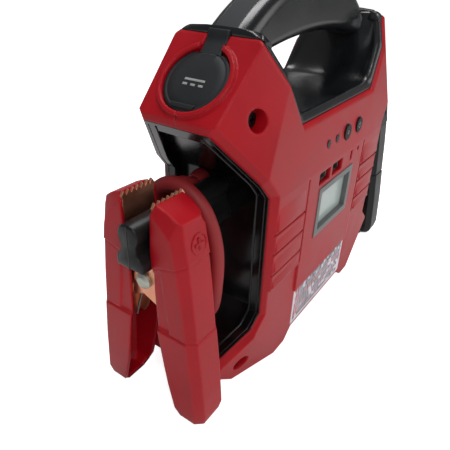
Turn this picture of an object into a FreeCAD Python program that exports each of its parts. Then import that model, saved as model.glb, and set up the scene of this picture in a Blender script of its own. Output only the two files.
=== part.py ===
import FreeCAD, Part
import math
import os
import re

import Sketcher
from FreeCAD import Placement, Rotation, Vector

# Jump starter pack: a waisted red clamshell with a carry handle over a hand opening, a 12 volt socket on
# one shoulder, a work light on the other, and a battery clamp parked on a post in a tray at each side.
# Frame: millimetres, +Z up, front face towards -Y, origin at the centre of the footprint on the floor.

DIMENSIONS = [
    # Outline of the pack, seen from the front; x values are distances from the middle.
    ("half_depth", 40, "middle plane to the front or rear face"),
    ("belly_x", 41, "half width of the raised middle of the underside"),
    ("belly_z", 8, "height of the raised middle of the underside"),
    ("foot_inner_x", 50, "inner end of a foot"),
    ("foot_base_x", 100, "outer end of a foot"),
    ("foot_side_x", 117, "outermost side of a foot"),
    ("foot_side_low_z", 14, "lower end of the foot's side"),
    ("foot_side_high_z", 23, "upper end of the foot's side"),
    ("foot_top_x", 113, "where the lower slope of the notch starts"),
    ("foot_top_z", 27, "height where the lower slope of the notch starts"),
    ("waist_x", 84, "half width at the waist"),
    ("waist_low_z", 48, "lower end of the waist"),
    ("waist_high_z", 126, "upper end of the waist"),
    ("shoulder_x", 115.5, "outermost side of a shoulder"),
    ("shoulder_under_z", 164, "underside of a shoulder"),
    ("shoulder_low_z", 168, "lower edge of the sloping shoulder face"),
    ("peak_x", 81.6, "upper edge of the sloping shoulder face"),
    ("peak_z", 201.4, "height of the upper edge of the sloping shoulder face"),
    ("bend_x", 62, "where the hand opening's side changes slope"),
    ("bend_z", 171, "height where the hand opening's side changes slope"),
    ("sill_x", 53, "half width of the hand opening's floor"),
    ("sill_z", 157, "height of the hand opening's floor"),
    ("wall", 2.5, "shell wall"),
    ("gap", 0.1, "assembly gap between fixed parts"),
    # Faces and facets.
    ("fold_z", 124.6, "height of the fold where the face starts to lean back"),
    ("lean", 0.09, "backward lean above the fold, depth per height"),
    ("upper_crease_x", 63, "a point on the upper facet's crease"),
    ("upper_crease_z", 171, "height of that point"),
    ("upper_slope", 0.42, "depth the upper facet falls back per distance from its crease"),
    ("lower_crease_x", 60, "a point on the lower facet's crease"),
    ("lower_crease_z", 0, "height of that point"),
    ("lower_slope", 0.37, "depth the lower facet falls back per distance from its crease"),
    ("bevel", 4, "bevel between the face and the tray rim"),
    ("edge_round", 3, "rounding of the hand opening's edge"),
    ("step_depth", 1.2, "depth of the face grooves and of the lower face's step"),
    ("panel_x", 44, "half width of the centre panel"),
    ("step_z", 64, "height of the lower face's step at the sides"),
    ("panel_low_z", 41, "lower edge of the centre panel"),
    ("groove", 1.8, "width of a face groove"),
    # Trays.
    ("tray_rim", 35.5, "middle plane to the tray's outer edge"),
    ("tray_well", 27.5, "middle plane to the tray well's side"),
    ("tray_back_x", 76, "back of the tray at the waist"),
    ("tray_floor_x", 78, "floor of the tray well at the waist"),
    # Handle and hand opening liner.
    ("handle_top_radius", 130, "radius of the handle's upper side"),
    ("handle_low_radius", 300, "radius of the handle's underside"),
    ("handle_low_z", 196, "height of the handle's underside in the middle"),
    ("handle_top_z", 229, "top of the handle"),
    ("handle_half_y", 13.5, "half the handle's width"),
    ("handle_round", 8, "rounding of the handle's upper edges"),
    ("handle_low_round", 6, "rounding of the handle's lower edges"),
    ("grip_half_y", 6.4, "half the soft grip's width"),
    ("grip_thick", 3, "thickness of the soft grip"),
    ("liner_rim", 5, "thickness of the liner's rim"),
    ("liner_skin", 2, "thickness of the liner between its rims"),
    ("liner_half_y", 37, "middle plane to the liner's edge"),
    ("liner_well_y", 31.5, "middle plane to the liner's inner step"),
    # Socket, cap and lamp on the shoulders.
    ("socket_x", 99.75, "middle of a shoulder face, the socket's or the lamp's axis"),
    ("socket_z", 183.5, "height of that middle"),
    ("cap_radius", 16.6, "radius of the rubber cap"),
    ("recess_radius", 18, "radius of the recess that the cap sits in"),
    ("recess_depth", 2.2, "depth of that recess"),
    ("ring_radius", 20.5, "outer radius of the raised ring"),
    ("ring_rise", 1.4, "height of the raised ring"),
    ("strap_half_y", 6.25, "half the width of the cap's strap"),
    ("strap_thick", 1.8, "thickness of the cap and its strap"),
    ("cap_hinge_s", 18.6, "distance up the slope from the socket to the strap's hinge"),
    ("barrel_bore", 10.65, "bore radius of the 12 volt socket"),
    ("barrel_wall", 1.1, "wall of the socket's metal barrel"),
    ("barrel_long", 37, "length of the socket's metal barrel"),
    ("holder_radius", 13.3, "outer radius of the socket holder"),
    # Front panel.
    ("button_z", 138, "height of the button row"),
    ("power_button_x", 28.9, "power button"),
    ("light_button_x", 9.1, "light button"),
    ("led_one_x", -19.8, "first indicator"),
    ("led_two_x", -6.8, "second indicator"),
    ("button_radius", 5, "radius of a button"),
    ("led_radius", 2.5, "radius of an indicator"),
    ("port_z", 118, "height of the USB ports"),
    ("port_one_x", -21.5, "first USB port"),
    ("port_two_x", -2.4, "second USB port"),
    ("port_half_x", 8, "half the width of a USB pocket"),
    ("port_half_z", 4, "half the height of a USB pocket"),
    ("charge_x", 21, "charging port"),
    ("charge_z", 118.7, "height of the charging port"),
    ("pilot_x", 33, "charging pilot light"),
    ("pilot_z", 120.5, "height of the charging pilot light"),
    ("screen_z", 93, "height of the display's middle"),
    ("screen_half_x", 27, "half the display frame's width"),
    ("screen_half_z", 17.65, "half the display frame's height"),
    ("label_half_x", 42.3, "half the label's width"),
    ("label_low_z", 9.5, "lower edge of the label"),
    ("label_high_z", 39.5, "upper edge of the label"),
    ("board_y", 25, "middle plane to the back of the main board"),
    ("board_thick", 1.6, "thickness of a circuit board"),
    # Screws.
    ("screw_high_x", 92, "upper screws"),
    ("screw_high_z", 168, "height of the upper screws"),
    ("screw_low_x", 97, "lower screws"),
    ("screw_low_z", 15, "height of the lower screws"),
    ("screw_high_floor", 25, "middle plane to the upper screw wells' floor"),
    ("screw_low_floor", 27, "middle plane to the lower screw wells' floor"),
    ("well_radius", 5.75, "radius of a screw well"),
    ("cup_radius", 8, "outer radius of the cup around a screw well"),
    ("shank_radius", 1.75, "radius of a screw"),
    ("head_radius", 3.6, "radius of a screw's head"),
    # Battery.
    ("cell_radius", 16.2, "radius of a cell"),
    ("cell_high", 70.5, "height of a cell"),
    ("cell_pitch", 34, "distance between cells"),
    ("cell_y", 14, "cells behind the middle plane"),
    ("cell_low_z", 16, "underside of the cells"),
    # Clamps, described on the left; x values are coordinates.
    ("clamp_out_x", -144.5, "outer side of the clamp"),
    ("clamp_in_x", -120.5, "inner side of the clamp"),
    ("clamp_wall", 3, "wall of a clamp cover"),
    ("pivot_z", 92, "height of the clamp's rivet"),
    ("rivet_radius", 3, "radius of the clamp's rivet"),
    ("rivet_play", 0.05, "running clearance around the rivet"),
    ("plate", 1.5, "thickness of the jaw plates"),
    ("jaw_y", 9, "middle of the clamp to a jaw's gripping face"),
    ("post_z", 116, "middle of the docking post"),
    ("post_tip_x", -151, "end of the docking post"),
    ("cable_radius", 4, "radius of a clamp cable"),
    ("gland_y", 12.5, "middle plane to a cable gland"),
    ("gland_z", 121, "height of a cable gland"),
    ("crimp_x", -130, "end of the cable inside the clamp"),
    ("crimp_z", 72, "height of the cable's end inside the clamp"),
]
NAMES = {name for name, _, _ in DIMENSIONS}

doc = FreeCAD.newDocument("jump_starter_pack")
dims = doc.addObject("Spreadsheet::Sheet", "dims")
for row, (alias, number, meaning) in enumerate(DIMENSIONS, start=1):
    dims.set(f"A{row}", meaning)
    dims.set(f"B{row}", str(number))
    dims.setAlias(f"B{row}", alias)
doc.recompute()

nodes = []


# ---------------------------------------------------------------- helpers
def bound(text):
    """An expression that reads the sheet, from one written in plain dimension names."""
    def point_at_sheet(word):
        return "dims." + word.group(0) if word.group(0) in NAMES else word.group(0)
    return re.sub(r"[a-z][a-z_0-9]*", point_at_sheet, str(text))


def size(text):
    """The present value of such an expression."""
    return float(dims.evalExpression(bound(text)))


def flipped(text):
    return f"-({text})"


def mirrored(corners):
    """A ring that is symmetric about the vertical axis, from its right half, bottom to top."""
    left = [(flipped(x), y) for x, y in reversed(corners)]
    return list(corners) + left


def side_of(corners, side):
    """The same corners on the right (side 1) or on the left (side -1)."""
    return [(x if side > 0 else flipped(x), y) for x, y in corners]


def axes(origin, x_axis, y_axis):
    """A placement from an origin and two perpendicular directions."""
    x_axis = Vector(*x_axis).normalize()
    y_axis = Vector(*y_axis).normalize()
    return Placement(Vector(*origin), Rotation(x_axis, y_axis, x_axis.cross(y_axis), "ZXY"))


def pin_down(sketch, item, end, x, y):
    """Hold one point of a sketch at bound distances from the sketch's origin."""
    for kind, text in (("DistanceX", x), ("DistanceY", y)):
        held = sketch.addConstraint(Sketcher.Constraint(kind, -1, 1, item, end, size(text)))
        sketch.setExpression(f"Constraints[{held}]", bound(text))


def add_ring(sketch, corners):
    """A closed ring of straight lines whose corners are all bound."""
    first = sketch.GeometryCount
    spots = [Vector(size(x), size(y), 0) for x, y in corners]
    count = len(spots)
    for step in range(count):
        sketch.addGeometry(Part.LineSegment(spots[step], spots[(step + 1) % count]), False)
    for step in range(count):
        follower = first + (step + 1) % count
        sketch.addConstraint(Sketcher.Constraint("Coincident", first + step, 2, follower, 1))
    for step, (x, y) in enumerate(corners):
        pin_down(sketch, first + step, 1, x, y)


def add_circle(sketch, x, y, radius):
    item = sketch.GeometryCount
    centre = Vector(size(x), size(y), 0)
    sketch.addGeometry(Part.Circle(centre, Vector(0, 0, 1), size(radius)), False)
    held = sketch.addConstraint(Sketcher.Constraint("Radius", item, size(radius)))
    sketch.setExpression(f"Constraints[{held}]", bound(radius))
    pin_down(sketch, item, 3, x, y)


def new_body(label, node=False):
    body = doc.addObject("PartDesign::Body", label)
    body.Label = label
    if node:
        nodes.append(body)
    return body


def add_sketch(body, plane, rings, circles, start, frame):
    """A sketch on one of the body's own origin planes, set off by start or turned into frame."""
    sketch = body.newObject("Sketcher::SketchObject", body.Label + "_sketch")
    support = next(item for item in body.Origin.OriginFeatures if item.Role == plane)
    sketch.AttachmentSupport = [(support, "")]
    sketch.MapMode = "FlatFace"
    if frame is None:
        sketch.setExpression(".AttachmentOffset.Base.z", bound(start))
    else:
        sketch.AttachmentOffset = frame
    for corners in rings:
        add_ring(sketch, corners)
    for circle in circles:
        add_circle(sketch, *circle)
    return sketch


def extrude(body, kind, plane, length, rings=(), circles=(), start="0", frame=None):
    """Pad or Pocket along the sketch's own normal, from start and by length."""
    before = body.Shape.Volume if kind == "Pocket" else 0
    sketch = add_sketch(body, plane, rings, circles, start, frame)
    feature = body.newObject("PartDesign::" + kind, body.Label + "_" + kind.lower())
    feature.Profile = sketch
    feature.Reversed = kind == "Pocket"
    feature.setExpression("Length", bound(length))
    doc.recompute()
    if kind == "Pocket" and body.Shape.Volume > before - 0.01:
        raise RuntimeError(f"a pocket in {body.Label} cuts nothing")
    return feature


def prism(label, plane, length, rings=(), circles=(), start="0", frame=None, node=True):
    """A body made of one pad."""
    body = new_body(label, node)
    extrude(body, "Pad", plane, length, rings, circles, start, frame)
    return body


def turned(label, profile, placement, node=True):
    """A body turned about its own Z axis from a ring in (radius, height), then placed."""
    body = new_body(label, node)
    sketch = add_sketch(body, "XZ_Plane", [profile], [], "0", None)
    spin = body.newObject("PartDesign::Revolution", label + "_turn")
    spin.Profile = sketch
    spin.ReferenceAxis = (sketch, ["V_Axis"])
    spin.Angle = 360
    body.Placement = placement
    doc.recompute()
    return body


def join(kind, label, items, node=False):
    """A boolean of whole objects: Cut takes the rest from the first, Fuse and Common use them all."""
    if kind == "Cut" and len(items) > 2:
        tools = join("Fuse", label + "_tools", items[1:])
        items = [items[0], tools]
    if kind == "Cut":
        result = doc.addObject("Part::Cut", label)
        result.Base, result.Tool = items
    else:
        result = doc.addObject("Part::MultiFuse" if kind == "Fuse" else "Part::MultiCommon", label)
        result.Shapes = items
    result.Label = label
    doc.recompute()
    if node:
        nodes.append(result)
    return result


def cylinder(label, radius, height, placement, node=False):
    item = doc.addObject("Part::Cylinder", label)
    item.Label = label
    item.setExpression("Radius", bound(radius))
    item.setExpression("Height", bound(height))
    item.Placement = placement
    if node:
        nodes.append(item)
    return item


def box(label, low, high, node=False):
    """A box between two corners given as bound texts."""
    item = doc.addObject("Part::Box", label)
    item.Label = label
    for name, axis, first, last in zip(("Length", "Width", "Height"), "xyz", low, high):
        item.setExpression(name, bound(f"({last}) - ({first})"))
        item.setExpression(f"Placement.Base.{axis}", bound(first))
    if node:
        nodes.append(item)
    return item


def along_y(x, y, z):
    """A placement whose Z axis points to the front, towards -Y."""
    return axes((size(x), size(y), size(z)), (1, 0, 0), (0, 0, 1))


def group(label, solids):
    """Identical small parts kept as one group of separate solids."""
    item = doc.addObject("Part::Compound", label)
    item.Label = label
    item.Links = solids
    doc.recompute()
    nodes.append(item)
    return item


def free_shape(label, shape, node=True):
    item = doc.addObject("Part::Feature", label)
    item.Label = label
    item.Shape = shape
    item.Placement = Placement()
    if node:
        nodes.append(item)
    return item


def swept(label, points, radius, node=True):
    """A round cord through the points."""
    curve = Part.BSplineCurve()
    curve.interpolate([Vector(*point) for point in points])
    spine = Part.Wire([curve.toShape()])
    start = curve.value(curve.FirstParameter)
    direction = curve.tangent(curve.FirstParameter)[0]
    section = Part.Wire([Part.makeCircle(radius, start, direction)])
    return free_shape(label, spine.makePipeShell([section], True, True), node)


# ---------------------------------------------------------------- the two shells
OUTLINE = mirrored([
    ("belly_x", "belly_z"),
    ("foot_inner_x", "0"),
    ("foot_base_x", "0"),
    ("foot_side_x", "foot_side_low_z"),
    ("foot_side_x", "foot_side_high_z"),
    ("foot_top_x", "foot_top_z"),
    ("waist_x", "waist_low_z"),
    ("waist_x", "waist_high_z"),
    ("shoulder_x", "shoulder_under_z"),
    ("shoulder_x", "shoulder_low_z"),
    ("peak_x", "peak_z"),
    ("bend_x", "bend_z"),
    ("sill_x", "sill_z"),
])
CAVITY = mirrored([
    ("belly_x", "belly_z + wall"),
    ("foot_inner_x + wall / 2", "wall"),
    ("foot_base_x - wall / 2", "wall"),
    ("foot_side_x - wall", "foot_side_low_z + wall / 2"),
    ("foot_side_x - wall", "foot_side_high_z - wall / 2"),
    ("foot_top_x - 2 * wall", "foot_top_z - 2 * wall"),
    ("waist_x - 2 * wall", "waist_low_z - wall"),
    ("waist_x - 2 * wall", "waist_high_z + wall"),
    ("shoulder_x - 1.8 * wall", "shoulder_low_z - wall / 5"),
    ("peak_x - 0.7 * wall", "peak_z - 1.9 * wall"),
    ("bend_x + wall", "bend_z - wall * 0.7"),
    ("sill_x + wall * 0.4", "sill_z - wall"),
])
TRAY_BAND = [
    ("foot_top_x", "foot_top_z"),
    ("waist_x", "waist_low_z"),
    ("waist_x", "waist_high_z"),
    ("shoulder_x", "shoulder_under_z"),
    ("shoulder_x - 8", "shoulder_under_z + 3"),
    ("tray_back_x", "waist_high_z + 3"),
    ("tray_back_x", "waist_low_z - 4"),
    ("foot_top_x - 6", "foot_top_z - 5.5"),
]
TRAY_SEAT = [
    ("foot_top_x + 4", "foot_top_z + 2"),
    ("waist_x + 6", "waist_low_z + 2"),
    ("waist_x + 6", "waist_high_z - 2"),
    ("shoulder_x + 4", "shoulder_under_z - 0.5"),
    ("shoulder_x + gap", "shoulder_under_z + gap"),
    ("shoulder_x - 8 - gap", "shoulder_under_z + 3 + gap"),
    ("tray_back_x - gap", "waist_high_z + 3"),
    ("tray_back_x - gap", "waist_low_z - 4"),
    ("foot_top_x - 6 - gap", "foot_top_z - 5.5 - gap"),
    ("foot_top_x + gap", "foot_top_z - gap"),
]
TRAY_WELL = [
    ("foot_top_x - 2", "foot_top_z + 8"),
    ("waist_x + 6", "waist_low_z + 2"),
    ("waist_x + 6", "waist_high_z - 2"),
    ("shoulder_x - 2", "shoulder_under_z - 7"),
    ("shoulder_x - 9", "shoulder_under_z - 3"),
    ("tray_floor_x", "waist_high_z + 2.2"),
    ("tray_floor_x", "waist_low_z - 2.8"),
    ("foot_top_x - 10", "foot_top_z + 0.5"),
]
CREASES = [
    ("upper_crease_x", "upper_crease_z", "upper_slope", (0.797, 0.604)),
    ("lower_crease_x", "lower_crease_z", "lower_slope", (0.78, -0.625)),
]
REACH = 75
RUN = 240


def trim_faces(body, distance, fronts):
    """Cut the leaning upper face and the four corner facets, for a block whose face is at distance."""
    for front in fronts:
        depth = distance if front > 0 else flipped(distance)
        toward = "-1" if front > 0 else "1"
        lean_ring = [
            (f"-({depth})", "fold_z"),
            (f"-({depth}) - ({toward}) * lean * 90", "fold_z + 90"),
            (f"-({depth}) + ({toward}) * 6", "fold_z + 90"),
            (f"-({depth}) + ({toward}) * 6", "fold_z"),
        ]
        extrude(body, "Pocket", "YZ_Plane", "2 * foot_side_x", [lean_ring], start="-foot_side_x")
        for crease_x, crease_z, slope, (out_x, out_z) in CREASES:
            wedge = [
                ("-2", f"({distance}) + 2 * {slope}"),
                (str(REACH), f"({distance}) - {REACH} * {slope}"),
                (str(REACH), f"({distance}) + 6"),
                ("-2", f"({distance}) + 6"),
            ]
            for side in (1, -1):
                outward = Vector(side * out_x, 0, out_z).normalize()
                forward = Vector(0, -front, 0)
                run = outward.cross(forward)
                corner = Vector(side * size(crease_x), 0, size(crease_z)) - run * (RUN / 2)
                frame = axes(corner, outward, forward)
                if reaches(body, corner + run * (RUN / 2), outward):
                    extrude(body, "Pocket", "XY_Plane", str(RUN), [wedge], frame=frame)


def reaches(body, spot, outward):
    """True where the body has material beyond the crease through spot."""
    far = max((vertex.Point - spot).dot(outward) for vertex in body.Shape.Vertexes)
    return far > 1


def slab(label, ring, distance, fronts):
    """A block with the ring's outline, from the middle plane to one face or between both faces."""
    start = "0" if fronts == (1,) else f"-({distance})"
    length = distance if len(fronts) == 1 else f"2 * ({distance})"
    body = prism(label, "XZ_Plane", length, [ring], start=start, node=False)
    trim_faces(body, distance, fronts)
    return body


def edges_where(shape, test):
    """Names of the shape's edges that pass a test."""
    return [f"Edge{number}" for number, edge in enumerate(shape.Edges, start=1) if test(edge)]


def on_line(spot, first, last):
    """True where a point's x and z lie on the line between two (x, z) corners."""
    along = Vector(last[0] - first[0], 0, last[1] - first[1])
    to_spot = Vector(abs(spot.x) - first[0], 0, spot.z - first[1])
    return to_spot.cross(along).Length / along.Length < 0.05


def face_edges(shape, corners):
    """Edges of the face that run along the path through the (x, z) corners, on either side."""
    path = [(size(x), size(z)) for x, z in corners]
    spans = list(zip(path, path[1:]))

    def follows(edge):
        first, last = edge.Vertexes[0].Point, edge.Vertexes[-1].Point
        away = min(abs(first.y), abs(last.y)) > 12 and abs(first.x * last.x) > 0
        for low, high in spans:
            inside = min(low[1], high[1]) - 0.1 < edge.CenterOfMass.z < max(low[1], high[1]) + 0.1
            if away and inside and on_line(first, low, high) and on_line(last, low, high):
                return abs(first.x - last.x) + abs(first.z - last.z) > 0.5
        return False

    return edges_where(shape, follows)


def dress(body, kind, edges, amount):
    """Chamfer or Fillet on named edges of the body's last feature."""
    base = body.Tip
    feature = body.newObject("PartDesign::" + kind, body.Label + "_" + kind.lower())
    feature.Base = (base, edges)
    feature.setExpression("Size" if kind == "Chamfer" else "Radius", bound(amount))
    body.Tip = feature
    doc.recompute()
    return feature


def face_start(front, depth):
    """Where a pocket that reaches depth below the face starts, on planes whose normal is -Y."""
    return f"half_depth - ({depth})" if front > 0 else "-half_depth - 5"


def cut_face(body, front, depth, rings=(), circles=()):
    """A pocket of one depth into the flat face, open to the outside."""
    extrude(body, "Pocket", "XZ_Plane", f"({depth}) + 5", rings, circles, start=face_start(front, depth))


def rectangle(x, z, half_x, half_z):
    """A ring around a middle point."""
    return [
        (f"({x}) - ({half_x})", f"({z}) - ({half_z})"),
        (f"({x}) + ({half_x})", f"({z}) - ({half_z})"),
        (f"({x}) + ({half_x})", f"({z}) + ({half_z})"),
        (f"({x}) - ({half_x})", f"({z}) + ({half_z})"),
    ]


RIB_HEIGHTS = ("103", "90", "75.5")


def face_relief(body, front):
    """The centre panel's grooves, the side ribs and the lower face's step."""
    step = [
        ("foot_side_x + 5", "-1"),
        ("foot_side_x + 5", "step_z"),
        ("panel_x", "step_z"),
        ("panel_x", "panel_low_z"),
    ]
    cut_face(body, front, "step_depth", [mirrored(step)])
    for side in (1, -1):
        middle = "panel_x" if side > 0 else "-panel_x"
        upright = rectangle(middle, "(step_z + fold_z) / 2", "groove / 2", "(fold_z - step_z) / 2 - 1")
        cut_face(body, front, "step_depth", [upright])
        for height in RIB_HEIGHTS:
            rib_x = "panel_x + 21" if side > 0 else "-panel_x - 21"
            cut_face(body, front, "step_depth", [rectangle(rib_x, height, "20", "groove / 2")])


SHOULDER_TILT = math.radians(45)


def shoulder_frame(side, lift=0.0, along=0.0):
    """Frame on a sloping shoulder face: X up the slope, Y to the rear, Z outwards (left), or its mirror."""
    outward = Vector(side * math.sin(SHOULDER_TILT), 0, math.cos(SHOULDER_TILT))
    upslope = Vector(-side * math.cos(SHOULDER_TILT), 0, math.sin(SHOULDER_TILT))
    origin = Vector(side * size("socket_x"), 0, size("socket_z")) + outward * lift + upslope * along
    return axes(origin, upslope, outward.cross(upslope))


def shoulder_tools(label, side):
    """What the shoulder face gains (a raised ring) and loses (cap recess, holder hole, strap channel)."""
    ring = cylinder(f"{label}_ring", "ring_radius", "ring_rise + wall", shoulder_frame(side, -size("wall")))
    recess = cylinder(f"{label}_recess", "recess_radius", "8", shoulder_frame(side, -size("recess_depth")))
    hole = cylinder(f"{label}_hole", "holder_radius + gap", "20", shoulder_frame(side, -12))
    return ring, [recess, hole]


def screw_cups(label, front, outer):
    """Cups that carry the screw wells, kept inside the outer block."""
    cups = []
    for side in (1, -1):
        for x, z, floor in (("screw_high_x", "screw_high_z", "screw_high_floor"),
                            ("screw_low_x", "screw_low_z", "screw_low_floor")):
            spot = f"{side} * {x}"
            low = f"-({floor} - wall)" if front > 0 else "half_depth"
            cups.append(cylinder(f"{label}_cup", "cup_radius", f"half_depth - {floor} + wall",
                                 along_y(spot, low, z)))
    return join("Common", f"{label}_cups_kept", [join("Fuse", f"{label}_cups", cups), outer])


def screw_holes(label, front, lower):
    """Wells and clearance holes for the screws; the rear shell's lower bosses are blind."""
    holes = []
    for side in (1, -1):
        rows = [("screw_high_x", "screw_high_z", "screw_high_floor")]
        if lower:
            rows.append(("screw_low_x", "screw_low_z", "screw_low_floor"))
        for x, z, floor in rows:
            spot = f"{side} * {x}"
            well_low = f"-{floor}" if front > 0 else "half_depth + 5"
            hole_low = f"-({floor} - 10)" if front > 0 else f"{floor} + 1"
            holes.append(cylinder(f"{label}_well", "well_radius", f"half_depth + 5 - {floor}",
                                  along_y(spot, well_low, z)))
            holes.append(cylinder(f"{label}_hole", "shank_radius + gap", "11", along_y(spot, hole_low, z)))
    return holes


def handle_form(label, grow, node):
    """The handle: a bar between a tight upper and a wide lower arc, cut to the hand opening and rounded."""
    half = f"(handle_half_y + {grow})"
    upper = ("0", "handle_top_z - handle_top_radius", f"handle_top_radius + {grow}")
    lower = ("0", "handle_low_z - handle_low_radius", f"handle_low_radius - {grow}")
    body = prism(label, "XZ_Plane", f"2 * {half}", circles=[upper], start=f"-{half}", node=node)
    extrude(body, "Pocket", "XZ_Plane", f"2 * {half} + 2", circles=[lower], start=f"-{half} - 1")
    beyond = [
        ("bend_x - gap", "bend_z - 20"), ("peak_x + 60", "bend_z - 20"), ("peak_x + 60", "peak_z + 20"),
        ("peak_x - gap", "peak_z + 20"), ("peak_x - gap", "peak_z"), ("bend_x - gap", "bend_z"),
    ]
    for side in (1, -1):
        extrude(body, "Pocket", "XZ_Plane", "80", [side_of(beyond, side)], start="-40")
    middle = size("handle_low_z") + 8
    for above, amount in ((True, "handle_round"), (False, "handle_low_round")):
        long_edges = edges_where(body.Shape, lambda edge: edge.Length > 100
                                 and (edge.CenterOfMass.z > middle) == above)
        dress(body, "Fillet", long_edges, amount)
    return body


def front_openings(body):
    """Windows for the display, buttons, indicators, ports and label in the front face."""
    through = "wall + 4"
    cut_face(body, 1, through, [rectangle("0", "screen_z", "screen_half_x + gap", "screen_half_z + gap")])
    cut_face(body, 1, "step_depth + 0.4", [rectangle("0", "(label_low_z + label_high_z) / 2",
                                                     "label_half_x + 0.3",
                                                     "(label_high_z - label_low_z) / 2 + 0.3")])
    for x in ("port_one_x", "port_two_x"):
        cut_face(body, 1, through, [rectangle(x, "port_z", "port_half_x", "port_half_z")])
    cut_face(body, 1, through, [rectangle("charge_x", "charge_z", "1.7", "3.4")])
    cut_face(body, 1, through, circles=[("pilot_x", "pilot_z", "1.6")])
    for x in ("power_button_x", "light_button_x"):
        cut_face(body, 1, "wall + 6", circles=[(x, "button_z", "button_radius + 0.25")])
    for x in ("led_one_x", "led_two_x"):
        cut_face(body, 1, "wall + 6", circles=[(x, "button_z", "led_radius + gap")])


def make_shell(label, front):
    """One half of the case, split at the middle plane: outer block, cavity, tray seats, cups and openings."""
    outer = slab(label + "_outer", OUTLINE, "half_depth", (front,))
    notch = face_edges(outer.Shape, TRAY_BAND[:4])
    dress(outer, "Chamfer", notch, "bevel")
    opening = face_edges(outer.Shape, [("peak_x", "peak_z"), ("bend_x", "bend_z"), ("sill_x", "sill_z"),
                                       ("-sill_x", "sill_z")])
    if opening:
        dress(outer, "Fillet", opening, "edge_round")
    face_relief(outer, front)
    if front > 0:
        front_openings(outer)
    cavity = slab(label + "_cavity", CAVITY, "half_depth - 1.1 * wall", (front,))
    seats = [slab(f"{label}_seat", side_of(TRAY_SEAT, side), "tray_rim + gap", (front,)) for side in (1, -1)]
    cups = screw_cups(label, front, outer)
    ring, socket_cuts = shoulder_tools(label + "_socket", -1)
    lamp_ring, lamp_cuts = shoulder_tools(label + "_lamp", 1)
    both_rings = join("Fuse", label + "_both_rings", [ring, lamp_ring])
    rings = join("Common", label + "_rings", [both_rings, half_box(label + "_half", front)])
    hollow = join("Cut", label + "_hollow", [outer, cavity] + seats)
    extras = [hollow, cups, rings]
    if front < 0:
        extras += [cylinder(label + "_boss", "4.2", "half_depth + screw_low_floor - 5 * wall - 0.2",
                            along_y(f"{side} * screw_low_x", "half_depth - 4 * wall", "screw_low_z"))
                   for side in (1, -1)]
    built = join("Fuse", label + "_built", extras)
    cuts = socket_cuts + lamp_cuts + screw_holes(label, front, front > 0)
    cuts.append(strap_channel(label + "_channel"))
    if front < 0:
        cuts += [cylinder(label + "_pilot", "shank_radius - 0.25", "14",
                          along_y(f"{side} * screw_low_x", "-(screw_low_floor - wall - 13.5)", "screw_low_z"))
                 for side in (1, -1)]
    return join("Cut", label, [built] + cuts, node=True)


def half_box(label, front):
    """Everything in front of, or behind, the middle plane."""
    low_y, high_y = ("-60", "0") if front > 0 else ("0", "60")
    return box(label, ("-150", low_y, "-10"), ("150", high_y, "260"))


def strap_channel(label):
    """The channel up the left shoulder face that the cap's strap lies in."""
    frame = shoulder_frame(-1, -size("recess_depth"))
    half = "strap_half_y + 0.4"
    outline = [("10", flipped(half)), ("30", flipped(half)), ("30", half), ("10", half)]
    return prism(label, "XY_Plane", "9", [outline], frame=frame, node=False)


# ---------------------------------------------------------------- trays, liner and handle
def make_tray(label, side):
    """A black cable tray: a rim that is flush with the notch and a well behind it."""
    band = slab(label + "_band", side_of(TRAY_BAND, side), "tray_rim", (1, -1))
    well = slab(label + "_well", side_of(TRAY_WELL, side), "tray_well", (1, -1))
    gland_room = cylinder(label + "_gland_room", "5.6", "14", gland_frame(side, -7))
    return join("Cut", label, [band, well, gland_room], node=True)


def gland_frame(side, lift):
    """Frame of the cable gland on the tray's floor behind the post, Z pointing out of the tray."""
    outward = Vector(side, 0, 0)
    base = Vector(side * size("tray_floor_x"), size("gland_y"), size("gland_z")) + outward * lift
    return axes(base, (0, 1, 0), outward.cross(Vector(0, 1, 0)))


def make_post(label, side):
    """The docking post: one section along X, a round head, a neck and a flared foot."""
    section = [
        ("-8.2", "post_z - 12.3"), ("8.2", "post_z - 12.3"), ("8.2", "post_z - 5.5"), ("5.5", "post_z - 3"),
        ("3", "post_z + 1"), ("4.5", "post_z + 5"), ("4.5", "post_z + 9"), ("2.2", "post_z + 12"),
        ("-2.2", "post_z + 12"), ("-4.5", "post_z + 9"), ("-4.5", "post_z + 5"), ("-3", "post_z + 1"),
        ("-5.5", "post_z - 3"), ("-8.2", "post_z - 5.5"),
    ]
    start = "post_tip_x" if side < 0 else "tray_floor_x"
    return prism(label, "YZ_Plane", "-post_tip_x - tray_floor_x", [section], start=start)


def make_handle():
    """The handle bar and the soft grip inlaid along its top."""
    whole = handle_form("handle_whole", "0", False)
    grip_band = box("grip_band", ("-peak_x - 2", "-grip_half_y", "sill_z"),
                    ("peak_x + 2", "grip_half_y", "handle_top_z + 5"))
    core = cylinder("grip_core", "handle_top_radius - grip_thick", "80",
                    along_y("0", "40", "handle_top_z - handle_top_radius"))
    inlay = join("Cut", "grip_inlay", [grip_band, core])
    notched = join("Cut", "handle_notched", [whole, strap_room("handle_strap_room")])
    join("Cut", "carry_handle", [notched, inlay], node=True)
    join("Common", "handle_grip", [notched, inlay], node=True)


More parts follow.
